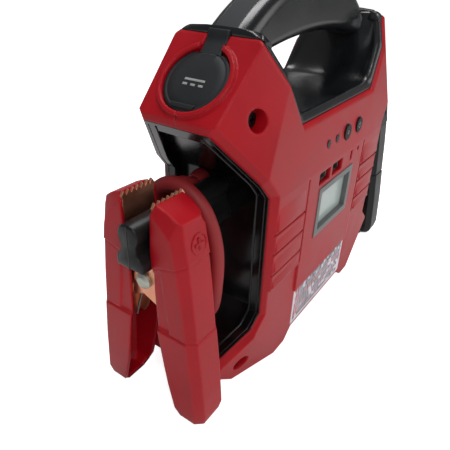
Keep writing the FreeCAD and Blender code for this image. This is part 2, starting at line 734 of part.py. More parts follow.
def make_liner():
    """The black saddle that lines the hand opening, with a collar around each handle root."""
    outside = [
        ("sill_x - gap", "sill_z + gap"),
        ("bend_x - gap", "bend_z + gap"),
        ("peak_x - gap - 0.6", "peak_z - 0.8 + gap"),
        ("peak_x - gap", "peak_z + 3"),
    ]
    inside = [
        ("peak_x - 9", "peak_z + 3"),
        ("bend_x - liner_rim * 0.8", "bend_z + liner_rim * 0.6"),
        ("sill_x - liner_rim * 0.5", "sill_z + liner_rim"),
    ]
    ring = side_of(outside, -1)[::-1] + outside + inside + side_of(inside, -1)[::-1]
    body = prism("liner_band", "XZ_Plane", "2 * liner_half_y", [ring], start="-liner_half_y", node=False)
    trim_faces(body, "half_depth - 2.2", (1, -1))
    well = [
        ("sill_x - liner_skin * 0.5", "sill_z + liner_skin"),
        ("bend_x - liner_skin * 0.8", "bend_z + liner_skin * 0.6"),
        ("peak_x - liner_skin * 1.4", "peak_z + 1"),
        ("peak_x - 4", "peak_z + 10"),
    ]
    well_block = prism("liner_well", "XZ_Plane", "2 * liner_well_y", [mirrored(well)], start="-liner_well_y",
                       node=False)
    trim_faces(well_block, "half_depth - 9", (1, -1))
    collars = [make_collar(side) for side in (1, -1)]
    hollow = join("Cut", "liner_hollow", [body, well_block])
    solid = join("Fuse", "liner_solid", [hollow] + collars)
    room = handle_form("liner_handle_room", "gap", False)
    return join("Cut", "hand_liner", [solid, room, strap_room("liner_strap_room")], node=True)


def make_collar(side):
    """The ledge that sits on a shoulder's upper edge and frames the handle's root."""
    profile = side_of([("peak_x - 6.6", "peak_z - 9"), ("peak_x - 0.25", "peak_z + 0.1"),
                       ("peak_x - 0.6", "peak_z + 2.4"), ("peak_x - 2.2", "peak_z + 3.6"),
                       ("peak_x - 7", "peak_z + 3.6")], side)
    body = prism("collar", "XZ_Plane", "50", [profile], start="-25", node=False)
    for front in (1, -1):
        corner = [(f"{front} * 17", "peak_z + 5"), (f"{front} * 26", "peak_z + 5"),
                  (f"{front} * 26", "peak_z + 0.6")]
        extrude(body, "Pocket", "YZ_Plane", "200", [corner], start="-100")
    return body


def strap_room(label):
    """Room for the cap's strap in the left collar and in the handle's root."""
    half = "strap_half_y + 0.4"
    return prism(label, "XY_Plane", "13",
                 [[("16", flipped(half)), ("29.2", flipped(half)), ("29.2", half), ("16", half)]],
                 frame=shoulder_frame(-1, -3), node=False)


# ---------------------------------------------------------------- socket, cap and lamp
def make_holder(label, side):
    """A plastic cup behind the shoulder face, with an ear for the front and for the rear screw."""
    floor = -size("recess_depth")
    tube = cylinder(label + "_tube", "holder_radius", "barrel_long + 2",
                    shoulder_frame(side, floor - size("barrel_long") - 2))
    bore = cylinder(label + "_bore", "barrel_bore + barrel_wall + 0.02", "barrel_long",
                    shoulder_frame(side, floor - size("barrel_long")))
    ears = []
    pilots = []
    for front in (1, -1):
        inner_y = f"-{front} * 11.5"
        outer_y = f"-{front} * (screw_high_floor - wall - 0.1)"
        low, high = (outer_y, inner_y) if front > 0 else (inner_y, outer_y)
        spot = "screw_high_x" if side > 0 else "-screw_high_x"
        ears.append(box(label + "_ear", (f"{spot} - 4.5", low, "screw_high_z - 4.5"),
                        (f"{spot} + 4.5", high, "screw_high_z + 4.5")))
        pilot_y = "-12.9" if front > 0 else "screw_high_floor - wall + 0.1"
        pilots.append(cylinder(label + "_pilot", "shank_radius - 0.25", "9.5",
                               along_y(spot, pilot_y, "screw_high_z")))
    solid = join("Fuse", label + "_solid", [tube] + ears)
    return join("Cut", label, [solid, bore] + pilots, node=True)


def make_socket():
    """The 12 V socket: a metal barrel and the insulated contact at its bottom."""
    floor = size("recess_depth")
    outer = "barrel_bore + barrel_wall"
    inside = f"{outer} - 0.1"
    turned("socket_barrel", [("barrel_bore", "0"), (outer, "0"), (outer, "barrel_long - 3.1"),
                             ("barrel_bore", "barrel_long - 3.1")],
           shoulder_frame(-1, -floor - size("barrel_long") + 3.1))
    turned("socket_contact", [("0", "0"), (inside, "0"), (inside, "3"), ("4.5", "3"), ("4.5", "6"),
                              ("2.5", "7.5"), ("0", "7.5")],
           shoulder_frame(-1, -floor - size("barrel_long") + 0.05))


def make_cap():
    """The rubber cap with a tapered plug and a finger lip, and the strap that anchors it at the handle."""
    floor = size("recess_depth") - 0.05
    disc = cylinder("cap_disc", "cap_radius", "strap_thick", shoulder_frame(-1, -floor))
    plug = turned("cap_plug", [("7", "-6"), ("8.7", "-6"), ("10.1", "0"), ("10.1", "0.5"), ("7", "0.5")],
                  shoulder_frame(-1, -floor), node=False)
    half = "strap_half_y"
    tab_outline = [("10", flipped(half)), ("cap_hinge_s", flipped(half)), ("cap_hinge_s", half), ("10", half)]
    tab = prism("cap_tab", "XY_Plane", "strap_thick", [tab_outline],
                frame=shoulder_frame(-1, -floor), node=False)
    lip_outline = [("-15.2", "-5.5"), ("-12.2", "-7.5"), ("-12.2", "7.5"), ("-15.2", "5.5")]
    lip = prism("cap_lip", "XY_Plane", "1.1", [lip_outline],
                frame=shoulder_frame(-1, -floor + size("strap_thick") - 0.1), node=False)
    hinge_frame = shoulder_frame(-1, -floor + size("strap_thick") / 2, size("cap_hinge_s"))
    start = hinge_frame.Base + Vector(0, -size(half), 0)
    nose = cylinder("cap_nose", "strap_thick / 2", f"2 * {half}", axes(start, (1, 0, 0), (0, 0, -1)))
    join("Fuse", "socket_cap", [disc, plug, tab, lip, nose], node=True)
    near = "cap_hinge_s + strap_thick / 2 + gap"
    low, high = "-recess_depth + 0.05", "-recess_depth + 0.05 + strap_thick"
    strip = [(near, low), ("28.9", low), ("28.9", "0.9"), ("27.6", "2"), ("25.4", "1.7"), ("23.4", high),
             (near, high)]
    frame = shoulder_frame(-1, 0)
    edgewise = axes(frame.Base + Vector(0, size(half), 0), frame.Rotation.multVec(Vector(1, 0, 0)),
                    frame.Rotation.multVec(Vector(0, 0, 1)))
    prism("cap_anchor", "XY_Plane", f"2 * {half}", [strip], frame=edgewise)


def make_lamp():
    """The work light: a clear lens, a bright reflector cup and a small board with its LED."""
    turned("lamp_lens", [("0", "0"), ("cap_radius + 0.8", "0"), ("cap_radius + 0.8", "1.6"), ("15", "3.0"),
                         ("8", "4.0"), ("0", "4.3")],
           shoulder_frame(1, -size("recess_depth") + 0.05))
    turned("lamp_reflector", [("3.5", "0"), ("4.7", "0"), ("11.6", "14"), ("11.6", "15.2"), ("10.5", "15.2"),
                              ("10.3", "14.4")],
           shoulder_frame(1, -size("recess_depth") - 15.4))
    turned("lamp_board", [("0", "0"), ("11.6", "0"), ("11.6", "1.6"), ("2.6", "1.6"), ("2.6", "3.4"),
                          ("0", "3.8")],
           shoulder_frame(1, -size("recess_depth") - 18.2))


# ---------------------------------------------------------------- front panel
def front_block(label, x, z, half_x, half_z, depth_out, depth_in, node=True):
    """A block behind or in the front face, between two distances from the middle plane."""
    return box(label, (f"({x}) - ({half_x})", f"-({depth_out})", f"({z}) - ({half_z})"),
               (f"({x}) + ({half_x})", f"-({depth_in})", f"({z}) + ({half_z})"), node)


def make_display():
    """The display: a raised bezel, its window and the module behind it."""
    frame = front_block("bezel_block", "0", "screen_z", "screen_half_x", "screen_half_z", "half_depth + 0.5",
                        "half_depth - 3", node=False)
    window = front_block("bezel_window", "0", "screen_z", "screen_half_x - 4", "screen_half_z - 4",
                         "half_depth + 2", "half_depth - 5", node=False)
    join("Cut", "lcd_bezel", [frame, window], node=True)
    front_block("lcd_screen", "0", "screen_z", "screen_half_x - 2", "screen_half_z - 2", "half_depth - 3.1",
                "half_depth - 5.1")
    front_block("lcd_module", "0", "screen_z", "screen_half_x - 1", "screen_half_z - 1", "half_depth - 5.2",
                "board_y + board_thick + 0.1")


def make_button(label, x):
    """A round push button with a retaining flange behind the face."""
    face = "half_depth - 0.3"
    cap = cylinder(label + "_cap", "button_radius", f"{face} - 33.2", along_y(x, "-33.2", "button_z"))
    flange = cylinder(label + "_flange", "button_radius + 1.4", "1.4", along_y(x, "-33.2", "button_z"))
    return join("Fuse", label, [cap, flange], node=True)


def make_controls():
    """Two push buttons with their switches, two indicator lights and the charging light."""
    make_button("power_button", "power_button_x")
    make_button("light_button", "light_button_x")
    behind = "-(board_y + board_thick + 0.05)"
    from_board = "half_depth - board_y - board_thick"
    group("button_switches", [cylinder("switch", "3", "5.2", along_y(x, behind, "button_z"))
                              for x in ("power_button_x", "light_button_x")])
    group("indicator_leds", [cylinder("indicator", "led_radius", f"{from_board} - 1",
                                      along_y(x, behind, "button_z"))
                             for x in ("led_one_x", "led_two_x")])
    cylinder("charge_light", "1.5", f"{from_board} - 1.3",
             along_y("pilot_x", behind, "pilot_z"), node=True)


def make_port(label, x, z, half_x, half_z, tongue):
    """A connector: a metal shell open to the front with a tongue inside."""
    shell = front_block(label + "_shell", x, z, half_x, half_z, "half_depth - 2.6",
                        "board_y + board_thick + 0.1", False)
    room = front_block(label + "_room", x, z, f"{half_x} - 0.5", f"{half_z} - 0.5",
                       "half_depth", "half_depth - 11", False)
    hollow = join("Cut", label + "_hollow", [shell, room])
    tongue_x, tongue_z, shift = tongue
    inside = front_block(label + "_tongue", x, f"({z}) + {shift}", tongue_x, tongue_z, "half_depth - 3.6",
                         "half_depth - 11.5", False)
    return join("Fuse", label, [hollow, inside], node=True)


def make_boards():
    """The control board behind the front face and the charging board behind the cells."""
    front_block("main_board", "0", "110", "41", "38", "board_y + board_thick", "board_y")
    box("charge_board", ("-38", "28", "101"), ("38", "28 + board_thick", "146"), True)


def make_label():
    """The rating label in its shallow field at the foot of the front face."""
    front_block("rating_label", "0", "(label_low_z + label_high_z) / 2", "label_half_x",
                "(label_high_z - label_low_z) / 2", "half_depth - 1.3", "half_depth - 1.6")


# ---------------------------------------------------------------- battery and leads
def make_battery():
    """Four upright cells between a tray and a cover, joined in pairs by two bus bars."""
    places = [f"{step} * cell_pitch / 2" for step in (-3, -1, 1, 3)]

    def upright(x, z):
        return Placement(Vector(size(x), size("cell_y"), size(z)), Rotation())

    group("battery_cells", [cylinder("cell", "cell_radius", "cell_high", upright(x, "cell_low_z"))
                            for x in places])
    for label, low, seat in (("cell_tray", "cell_low_z - 4", "cell_low_z"),
                             ("cell_cover", "cell_low_z + cell_high - 4", "cell_low_z + cell_high - 8")):
        block = box(label + "_block", ("-69.5", "cell_y - 18.5", low),
                    ("69.5", "cell_y + 18.5", f"{low} + 8"))
        seats = [cylinder(label + "_seat", "cell_radius + gap", "8.0", upright(x, seat)) for x in places]
        windows = [cylinder(label + "_window", "6", "20", upright(x, f"{low} - 6")) for x in places]
        join("Cut", label, [block] + seats + windows, node=True)
    strips = []
    for low_x, high_x in (("-3 * cell_pitch / 2 - 5", "-cell_pitch / 2 + 5"),
                          ("cell_pitch / 2 - 5", "3 * cell_pitch / 2 + 5")):
        strips.append(box("bar", (low_x, "cell_y - 5", "cell_low_z + cell_high + 4.1"),
                          (high_x, "cell_y + 5", "cell_low_z + cell_high + 4.6")))
    group("bus_bars", strips)


def make_power_leads():
    """The two leads from the cable glands to the control board."""
    leads = []
    for side in (1, -1):
        path = [(side * 72.2, 12.5, 121), (side * 66, 14, 121.5), (side * 57, 19.5, 122),
                (side * 49, 26, 121.5), (side * 42, 31.5, 119), (side * 38, 33.4, 112)]
        leads.append(swept("lead", path, 2.4, node=False))
    group("power_leads", leads)


# ---------------------------------------------------------------- screws
def screw_shape(label, placement, long):
    """A pan head with a cross recess on a plain shank."""
    head = cylinder(label + "_head", "head_radius", "2.4", placement)
    shank = cylinder(label + "_shank", "shank_radius - 0.3", str(long),
                     placement.multiply(Placement(Vector(0, 0, -long), Rotation())))
    slot = doc.addObject("Part::Box", label + "_slot")
    slot.Length, slot.Width, slot.Height = 4.2, 0.9, 1.4
    slot.Placement = placement.multiply(Placement(Vector(-2.1, -0.45, 1.2), Rotation()))
    cross = doc.addObject("Part::Box", label + "_cross")
    cross.Length, cross.Width, cross.Height = 0.9, 4.2, 1.4
    cross.Placement = placement.multiply(Placement(Vector(-0.45, -2.1, 1.2), Rotation()))
    return join("Cut", label, [join("Fuse", label + "_solid", [head, shank]), slot, cross])


def make_screws():
    """Four screws from the front and two from the rear hold the shells and the holders together."""
    front = []
    rear = []
    for side in (1, -1):
        high = along_y(f"{side} * screw_high_x", "-screw_high_floor - 0.05", "screw_high_z")
        low = along_y(f"{side} * screw_low_x", "-screw_low_floor - 0.05", "screw_low_z")
        back = axes((side * size("screw_high_x"), size("screw_high_floor") + 0.05, size("screw_high_z")),
                    (-1, 0, 0), (0, 0, 1))
        front += [screw_shape("front_screw", high, 10), screw_shape("front_screw", low, 14)]
        rear.append(screw_shape("rear_screw", back, 10))
    group("front_screws", front)
    group("rear_screws", rear)


# ---------------------------------------------------------------- clamps
COVER = [
    ("-10.6", "138"), ("-22", "134.5"), ("-27.5", "129.5"), ("-33.5", "69"), ("-38.5", "9"), ("-35", "2"),
    ("-28", "1"), ("-20.5", "8"), ("-15.5", "28"), ("-9.5", "62"), ("-9", "84"), ("-9", "101"),
    ("-10.6", "105.5"),
]
COVER_ROOM = [
    ("0", "133"), ("-21", "130.5"), ("-24.4", "127.5"), ("-30", "69"), ("-34.5", "13"), ("-30", "7"),
    ("-22", "12"), ("-17.5", "28"), ("-13", "50"), ("0", "58"),
]
EAR = [
    ("-10.6", "106"), ("-19.5", "112"), ("-19.5", "76"), ("-9", "78"), ("3", "83"), ("8", "90"), ("7", "97"),
    ("0", "101"), ("-8.8", "102.6"),
]


def mirror_y(corners, front):
    return corners if front > 0 else [(flipped(y), z) for y, z in corners]


def make_cover(label, front):
    """A hollow clamp cover: flat sides, bevelled back, open towards the jaws."""
    long = "clamp_in_x - clamp_out_x"
    body = prism(label, "YZ_Plane", long, [mirror_y(COVER, front)], start="clamp_out_x")
    outer = edges_where(body.Shape, lambda edge: cover_back(edge, front))
    dress(body, "Chamfer", outer, "4.5")
    extrude(body, "Pocket", "YZ_Plane", f"{long} - 2 * clamp_wall", [mirror_y(COVER_ROOM, front)],
            start="clamp_out_x + clamp_wall")
    return body


def cover_back(edge, front):
    """True for the long edges on a cover's back, away from the jaws."""
    ends = [vertex.Point for vertex in edge.Vertexes]
    if len(ends) < 2 or abs(ends[0].x - ends[1].x) > 0.1:
        return False
    outermost = all(-front * end.y > 26 and end.z > 8 for end in ends)
    return outermost and edge.Length > 20


def make_jaw(label, front):
    """A copper jaw: a toothed gripping plate and two ears that turn on the rivet."""
    teeth = []
    count = 7
    pitch = f"(clamp_in_x - clamp_out_x - 2) / {count}"
    for step in range(count):
        start = f"clamp_out_x + 1 + {step} * ({pitch})"
        teeth += [(start, "136.6"), (f"{start} + ({pitch}) * 0.5", "139")]
    teeth.append(("clamp_in_x - 1", "136.6"))
    side_teeth = []
    for step in range(10):
        height = f"135 - {step} * 3"
        side_teeth.append(("clamp_in_x - 1 - 0.6 * " + str(step % 2), height))
    other_teeth = [(f"clamp_out_x + 1 + 0.6 * {step % 2}", f"108 + {step} * 3") for step in range(10)]
    ring = teeth + side_teeth + [("clamp_in_x - 5", "106"), ("clamp_out_x + 5", "106")] + other_teeth
    start = "jaw_y" if front > 0 else "-jaw_y - plate"
    grip = prism(label + "_grip", "XZ_Plane", "plate", [ring], start=start, node=False)
    parts = [grip]
    inset = "0.1" if front > 0 else "(plate + 0.2)"
    for low in (f"clamp_out_x + clamp_wall + {inset}", f"clamp_in_x - clamp_wall - plate - {inset}"):
        ear = prism(label + "_ear", "YZ_Plane", "plate", [mirror_y(EAR, front)], start=low, node=False)
        parts.append(ear)
    web = [("-17.5", "112"), ("-19.5", "112"), ("-19.5", "78"), ("-17.5", "78")]
    width = f"clamp_in_x - clamp_out_x - 2 * (clamp_wall + {inset})"
    parts.append(prism(label + "_web", "YZ_Plane", width, [mirror_y(web, front)],
                       start=f"clamp_out_x + clamp_wall + {inset}", node=False))
    bridge = [("-10.4", "112"), ("-10.4", "104"), ("-19", "104"), ("-19", "112")]
    parts.append(prism(label + "_bridge", "YZ_Plane", width, [mirror_y(bridge, front)],
                       start=f"clamp_out_x + clamp_wall + {inset}", node=False))
    solid = join("Fuse", label + "_solid", parts)
    hole = cylinder(label + "_hole", "rivet_radius + rivet_play", "30", pivot_frame("clamp_out_x - 2"))
    return join("Cut", label, [solid, hole], node=True)


def pivot_frame(x):
    """On the rivet's axis, Z along +X."""
    return axes((size(x), 0, size("pivot_z")), (0, 1, 0), (0, 0, 1))


def make_rivet(label):
    """The rivet: a shank between two domed heads that stand clear of the ears."""
    inner = "clamp_in_x - clamp_out_x - 2 * clamp_wall"
    profile = [("0", "-3"), ("2.6", "-3"), ("4.6", "-1.6"), ("4.6", "0"), ("rivet_radius", "0"),
               ("rivet_radius", inner), ("4.6", inner), ("4.6", f"{inner} + 1.4"), ("0", f"{inner} + 2.4")]
    return turned(label, profile, pivot_frame("clamp_out_x + clamp_wall"))


def make_spring(label):
    """The torsion spring: coils around the rivet between the ears."""
    wire = 0.8
    middle = 5.2
    helix = Part.makeHelix(2.1, 8.4, middle)
    start = Vector(middle, 0, 0)
    section = Part.Wire([Part.makeCircle(wire, start, Vector(0, 1, 0))])
    coil = Part.Wire(helix.Edges).makePipeShell([section], True, True)
    item = free_shape(label, coil)
    item.Placement = pivot_frame("(clamp_out_x + clamp_in_x) / 2 - 4.2")
    return item


CABLE_PATH = [
    (-73, 12.5, 121), (-79.5, 12.5, 121), (-86.5, 12.6, 121.2), (-94, 15, 124), (-100, 20.5, 121),
    (-103.2, 23.5, 110), (-105, 21.5, 86), (-106, 12, 58), (-108, -3, 49), (-110.5, -18.5, 61),
    (-112.7, -23.5, 84), (-113, -23.2, 106), (-113, -17, 123), (-113, -5.5, 132.8), (-113, 7, 133.2),
    (-113, 17.5, 124), (-113.2, 20.5, 106),
    (-113.6, 14.5, 86), (-115, 5.5, 75),
]


def make_cable(label):
    """A clamp cable: out of the gland, round in one loop and into the clamp beside the rivet."""
    crimp_z = size("crimp_z")
    end = [(-119.5, 1, crimp_z + 0.3), (-124, 0, crimp_z), (size("crimp_x") + 0.3, 0, crimp_z)]
    return swept(label, CABLE_PATH + end, size("cable_radius"))


def make_gland(label):
    """The rubber strain relief where a cable leaves the tray."""
    profile = [("cable_radius + 0.15", "-5.5"), ("5.5", "-5.5"), ("5.5", "0.1"), ("7", "0.1"), ("7", "2"),
               ("5.6", "8"), ("cable_radius + 0.5", "8")]
    return turned(label, profile, gland_frame(-1, 0))


def make_crimp(label):
    """The copper ferrule on the cable's end."""
    profile = [("cable_radius + 0.15", "0"), ("5", "0"), ("5", "-7"), ("0", "-7"), ("0", "-5.6"),
               ("cable_radius + 0.15", "-5.6")]
    return turned(label, profile, axes((size("crimp_x") + 5.5, 0, size("crimp_z")), (0, 1, 0), (0, 0, 1)))


def mirror_across(item, label):
    """The same piece on the right-hand side."""
    twin = doc.addObject("Part::Mirroring", label)
    twin.Label = label
    twin.Source = item
    twin.Normal = Vector(1, 0, 0)
    twin.Base = Vector(0, 0, 0)
    nodes.append(twin)
    return twin


def make_clamp():
    """The left clamp's pieces, then their mirror images for the right clamp."""
    pieces = [
        make_cover("left_clamp_front_cover", 1), make_cover("left_clamp_rear_cover", -1),
        make_jaw("left_clamp_front_jaw", 1), make_jaw("left_clamp_rear_jaw", -1),
        make_rivet("left_clamp_rivet"), make_spring("left_clamp_spring"), make_crimp("left_clamp_crimp"),
        make_cable("left_cable"), make_gland("left_cable_gland"),
    ]
    doc.recompute()
    for piece in pieces:
        mirror_across(piece, piece.Label.replace("left_", "right_", 1))


# ---------------------------------------------------------------- build, check and write
def build():
    make_shell("front_shell", 1)
    make_shell("rear_shell", -1)
    for side, word in ((-1, "left"), (1, "right")):
        make_tray(f"{word}_tray", side)
        make_post(f"{word}_dock_post", side)
    make_liner()
    make_handle()
    make_holder("socket_holder", -1)
    make_holder("lamp_holder", 1)
    make_socket()
    make_cap()
    make_lamp()
    make_display()
    make_controls()
    make_port("usb_port_one", "port_one_x", "port_z", "7.2", "3.4", ("5.4", "0.9", "1.2"))
    make_port("usb_port_two", "port_two_x", "port_z", "7.2", "3.4", ("5.4", "0.9", "1.2"))
    make_port("charge_port", "charge_x", "charge_z", "1.6", "3.3", ("0.35", "2.2", "0"))
    make_boards()
    make_label()
    make_battery()
    make_power_leads()
    make_screws()
    make_clamp()
    doc.recompute()


def check_and_write():
    for item in doc.Objects:
        if "Invalid" in item.State or "Error" in item.State:
            raise RuntimeError(f"{item.Name} failed: {item.State}")
    for node in nodes:
        if node.Shape.isNull() or not node.Shape.isValid():
            raise RuntimeError(f"{node.Label} has no sound shape")
    os.makedirs("parts", exist_ok=True)
    for node in nodes:
        node.Shape.exportStep(f"parts/{node.Label}.step")


build()
check_and_write()
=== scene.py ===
"""Looks of a portable jump starter: a waisted red case with a handle, two clamps and their cables."""
import math

import bmesh
import bpy
from mathutils import Matrix, Vector


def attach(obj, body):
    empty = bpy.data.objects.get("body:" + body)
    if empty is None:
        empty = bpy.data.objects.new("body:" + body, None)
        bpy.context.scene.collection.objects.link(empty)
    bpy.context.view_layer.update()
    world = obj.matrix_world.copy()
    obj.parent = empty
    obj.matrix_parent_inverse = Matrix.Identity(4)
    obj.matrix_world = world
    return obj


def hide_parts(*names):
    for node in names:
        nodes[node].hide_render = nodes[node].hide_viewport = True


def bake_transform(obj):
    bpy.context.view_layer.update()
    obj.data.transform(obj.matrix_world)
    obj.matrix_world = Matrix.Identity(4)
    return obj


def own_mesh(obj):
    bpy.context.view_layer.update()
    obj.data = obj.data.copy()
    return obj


MM = 0.001
HANDS = {-1: "left", 1: "right"}
CLAMP_COLOURS = {-1: "red", 1: "black"}
ENDS = {1: "front", -1: "rear"}

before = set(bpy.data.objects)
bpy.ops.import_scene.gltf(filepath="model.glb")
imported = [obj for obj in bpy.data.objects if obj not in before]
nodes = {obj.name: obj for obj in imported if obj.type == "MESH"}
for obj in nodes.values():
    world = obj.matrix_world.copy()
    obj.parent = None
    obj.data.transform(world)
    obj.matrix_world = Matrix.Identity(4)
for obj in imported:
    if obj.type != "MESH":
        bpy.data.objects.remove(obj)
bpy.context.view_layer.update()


# ---------------------------------------------------------------- materials

def srgb(red, green, blue):
    """A 0-255 screen colour as the linear colour that the shaders use."""
    def linear(channel):
        value = channel / 255
        if value <= 0.04045:
            return value / 12.92
        return ((value + 0.055) / 1.055) ** 2.4
    return linear(red), linear(green), linear(blue), 1.0


class Shader:
    """Builds one procedural material out of small, named steps."""

    def __init__(self, name):
        self.material = bpy.data.materials.new(name)
        self.material.use_nodes = True
        self.tree = self.material.node_tree
        self.tree.nodes.clear()
        output = self.node("ShaderNodeOutputMaterial")
        self.surface = self.node("ShaderNodeBsdfPrincipled")
        self.feed(self.surface.outputs["BSDF"], output.inputs["Surface"])
        self.place = self.node("ShaderNodeTexCoord").outputs["Object"]

    def feed(self, value, socket):
        """Links an output to an input, or writes a plain value into it."""
        if isinstance(value, bpy.types.NodeSocket):
            self.tree.links.new(value, socket)
        else:
            socket.default_value = value

    def fill(self, made, inputs):
        """Feeds a node's inputs, which are named with underscores for spaces."""
        for key, value in inputs.items():
            self.feed(value, made.inputs[key.replace("_", " ")])

    def node(self, kind, **inputs):
        made = self.tree.nodes.new(kind)
        self.fill(made, inputs)
        return made

    def set(self, **inputs):
        self.fill(self.surface, inputs)

    def noise(self, scale, detail):
        made = self.node("ShaderNodeTexNoise", Vector=self.place, Scale=scale, Detail=detail)
        return made.outputs["Fac"]

    def remap(self, value, low, high, to_low, to_high):
        made = self.node("ShaderNodeMapRange", Value=value, From_Min=low, From_Max=high,
                         To_Min=to_low, To_Max=to_high)
        return made.outputs["Result"]

    def math(self, operation, first, second):
        made = self.node("ShaderNodeMath")
        made.operation = operation
        self.feed(first, made.inputs[0])
        self.feed(second, made.inputs[1])
        return made.outputs["Value"]

    def mix(self, amount, first, second):
        """A colour between two colours; the node's colour sockets share their names, so they go by place."""
        made = self.node("ShaderNodeMix")
        made.data_type = "RGBA"
        for place, value in {0: amount, 6: first, 7: second}.items():
            self.feed(value, made.inputs[place])
        return made.outputs[2]

    def soft_normal(self, radius):
        """The surface's direction as if its edges were rounded by a radius in metres."""
        made = self.node("ShaderNodeBevel", Radius=radius)
        made.samples = 4
        return made.outputs["Normal"]

    def edges(self, radius):
        """How strongly a point sits on a rounded edge, from 0 to 1."""
        dot = self.node("ShaderNodeVectorMath")
        dot.operation = "DOT_PRODUCT"
        self.feed(self.soft_normal(radius), dot.inputs[0])
        self.feed(self.node("ShaderNodeNewGeometry").outputs["Normal"], dot.inputs[1])
        return self.remap(dot.outputs["Value"], 0.99, 0.86, 0.0, 1.0)

    def bump(self, height, strength, distance, radius):
        """Fine relief on top of softened edges; distance and radius are in metres."""
        made = self.node("ShaderNodeBump", Height=height, Normal=self.soft_normal(radius),
                         Strength=strength, Distance=distance)
        self.set(Normal=made.outputs["Normal"])


BLOTCH_SCALE, EDGE_BREAKUP_SCALE, DRAW_MARK_SCALE = 38, 420, 900
GRAIN_DEPTH, DRAW_MARK_DEPTH = 0.0002, 0.0001


def plastic(name, base, wear_and_highlight_colour, roughness, grain=0.12, grain_size=2600, spread=0.16, radius=0.0008,
            specular=0.5, wear_and_highlight_amount=0.55):
    """Moulded plastic: blotchy colour, fine spark texture and slightly polished, lighter edges; the lighter
    edge colour is partly wear and partly a painted highlight.
    """
    shader = Shader(name)
    blotch = shader.noise(BLOTCH_SCALE, 5)
    darker = tuple(channel * (1 - spread) for channel in base[:3]) + (1.0,)
    lighter = tuple(min(1, channel * (1 + spread) + 0.002) for channel in base[:3]) + (1.0,)
    tone = shader.mix(shader.remap(blotch, 0.3, 0.7, 0, 1), darker, lighter)
    # Lighter colour along rounded edges, broken up by noise: partly rubbed wear, partly a painted highlight
    # where the edges catch the light.
    edge = shader.math("MULTIPLY", shader.edges(radius), wear_and_highlight_amount)
    wear_and_highlight_mask = shader.math("MULTIPLY", edge, shader.remap(shader.noise(EDGE_BREAKUP_SCALE, 4), 0.3, 0.6, 0.55, 1))
    shader.set(Base_Color=shader.mix(wear_and_highlight_mask, tone, wear_and_highlight_colour))
    rough = shader.remap(blotch, 0.3, 0.7, roughness - 0.05, roughness + 0.05)
    shader.set(Roughness=shader.math("SUBTRACT", rough, shader.math("MULTIPLY", edge, 0.12)))
    shader.set(Specular_IOR_Level=specular)
    shader.bump(shader.noise(grain_size, 2), grain, GRAIN_DEPTH, radius)
    return shader.material


def metal(name, base, tarnish, roughness, scale=90):
    """Plated or stamped metal with tarnish patches and fine draw marks."""
    shader = Shader(name)
    patches = shader.remap(shader.noise(scale, 6), 0.35, 0.68, 0, 1)
    marks = shader.noise(DRAW_MARK_SCALE, 3)
    shader.set(Base_Color=shader.mix(patches, base, tarnish), Metallic=1.0)
    shader.set(Roughness=shader.remap(marks, 0.25, 0.75, roughness - 0.08, roughness + 0.12))
    shader.bump(marks, 0.2, DRAW_MARK_DEPTH, 0.0004)
    return shader.material


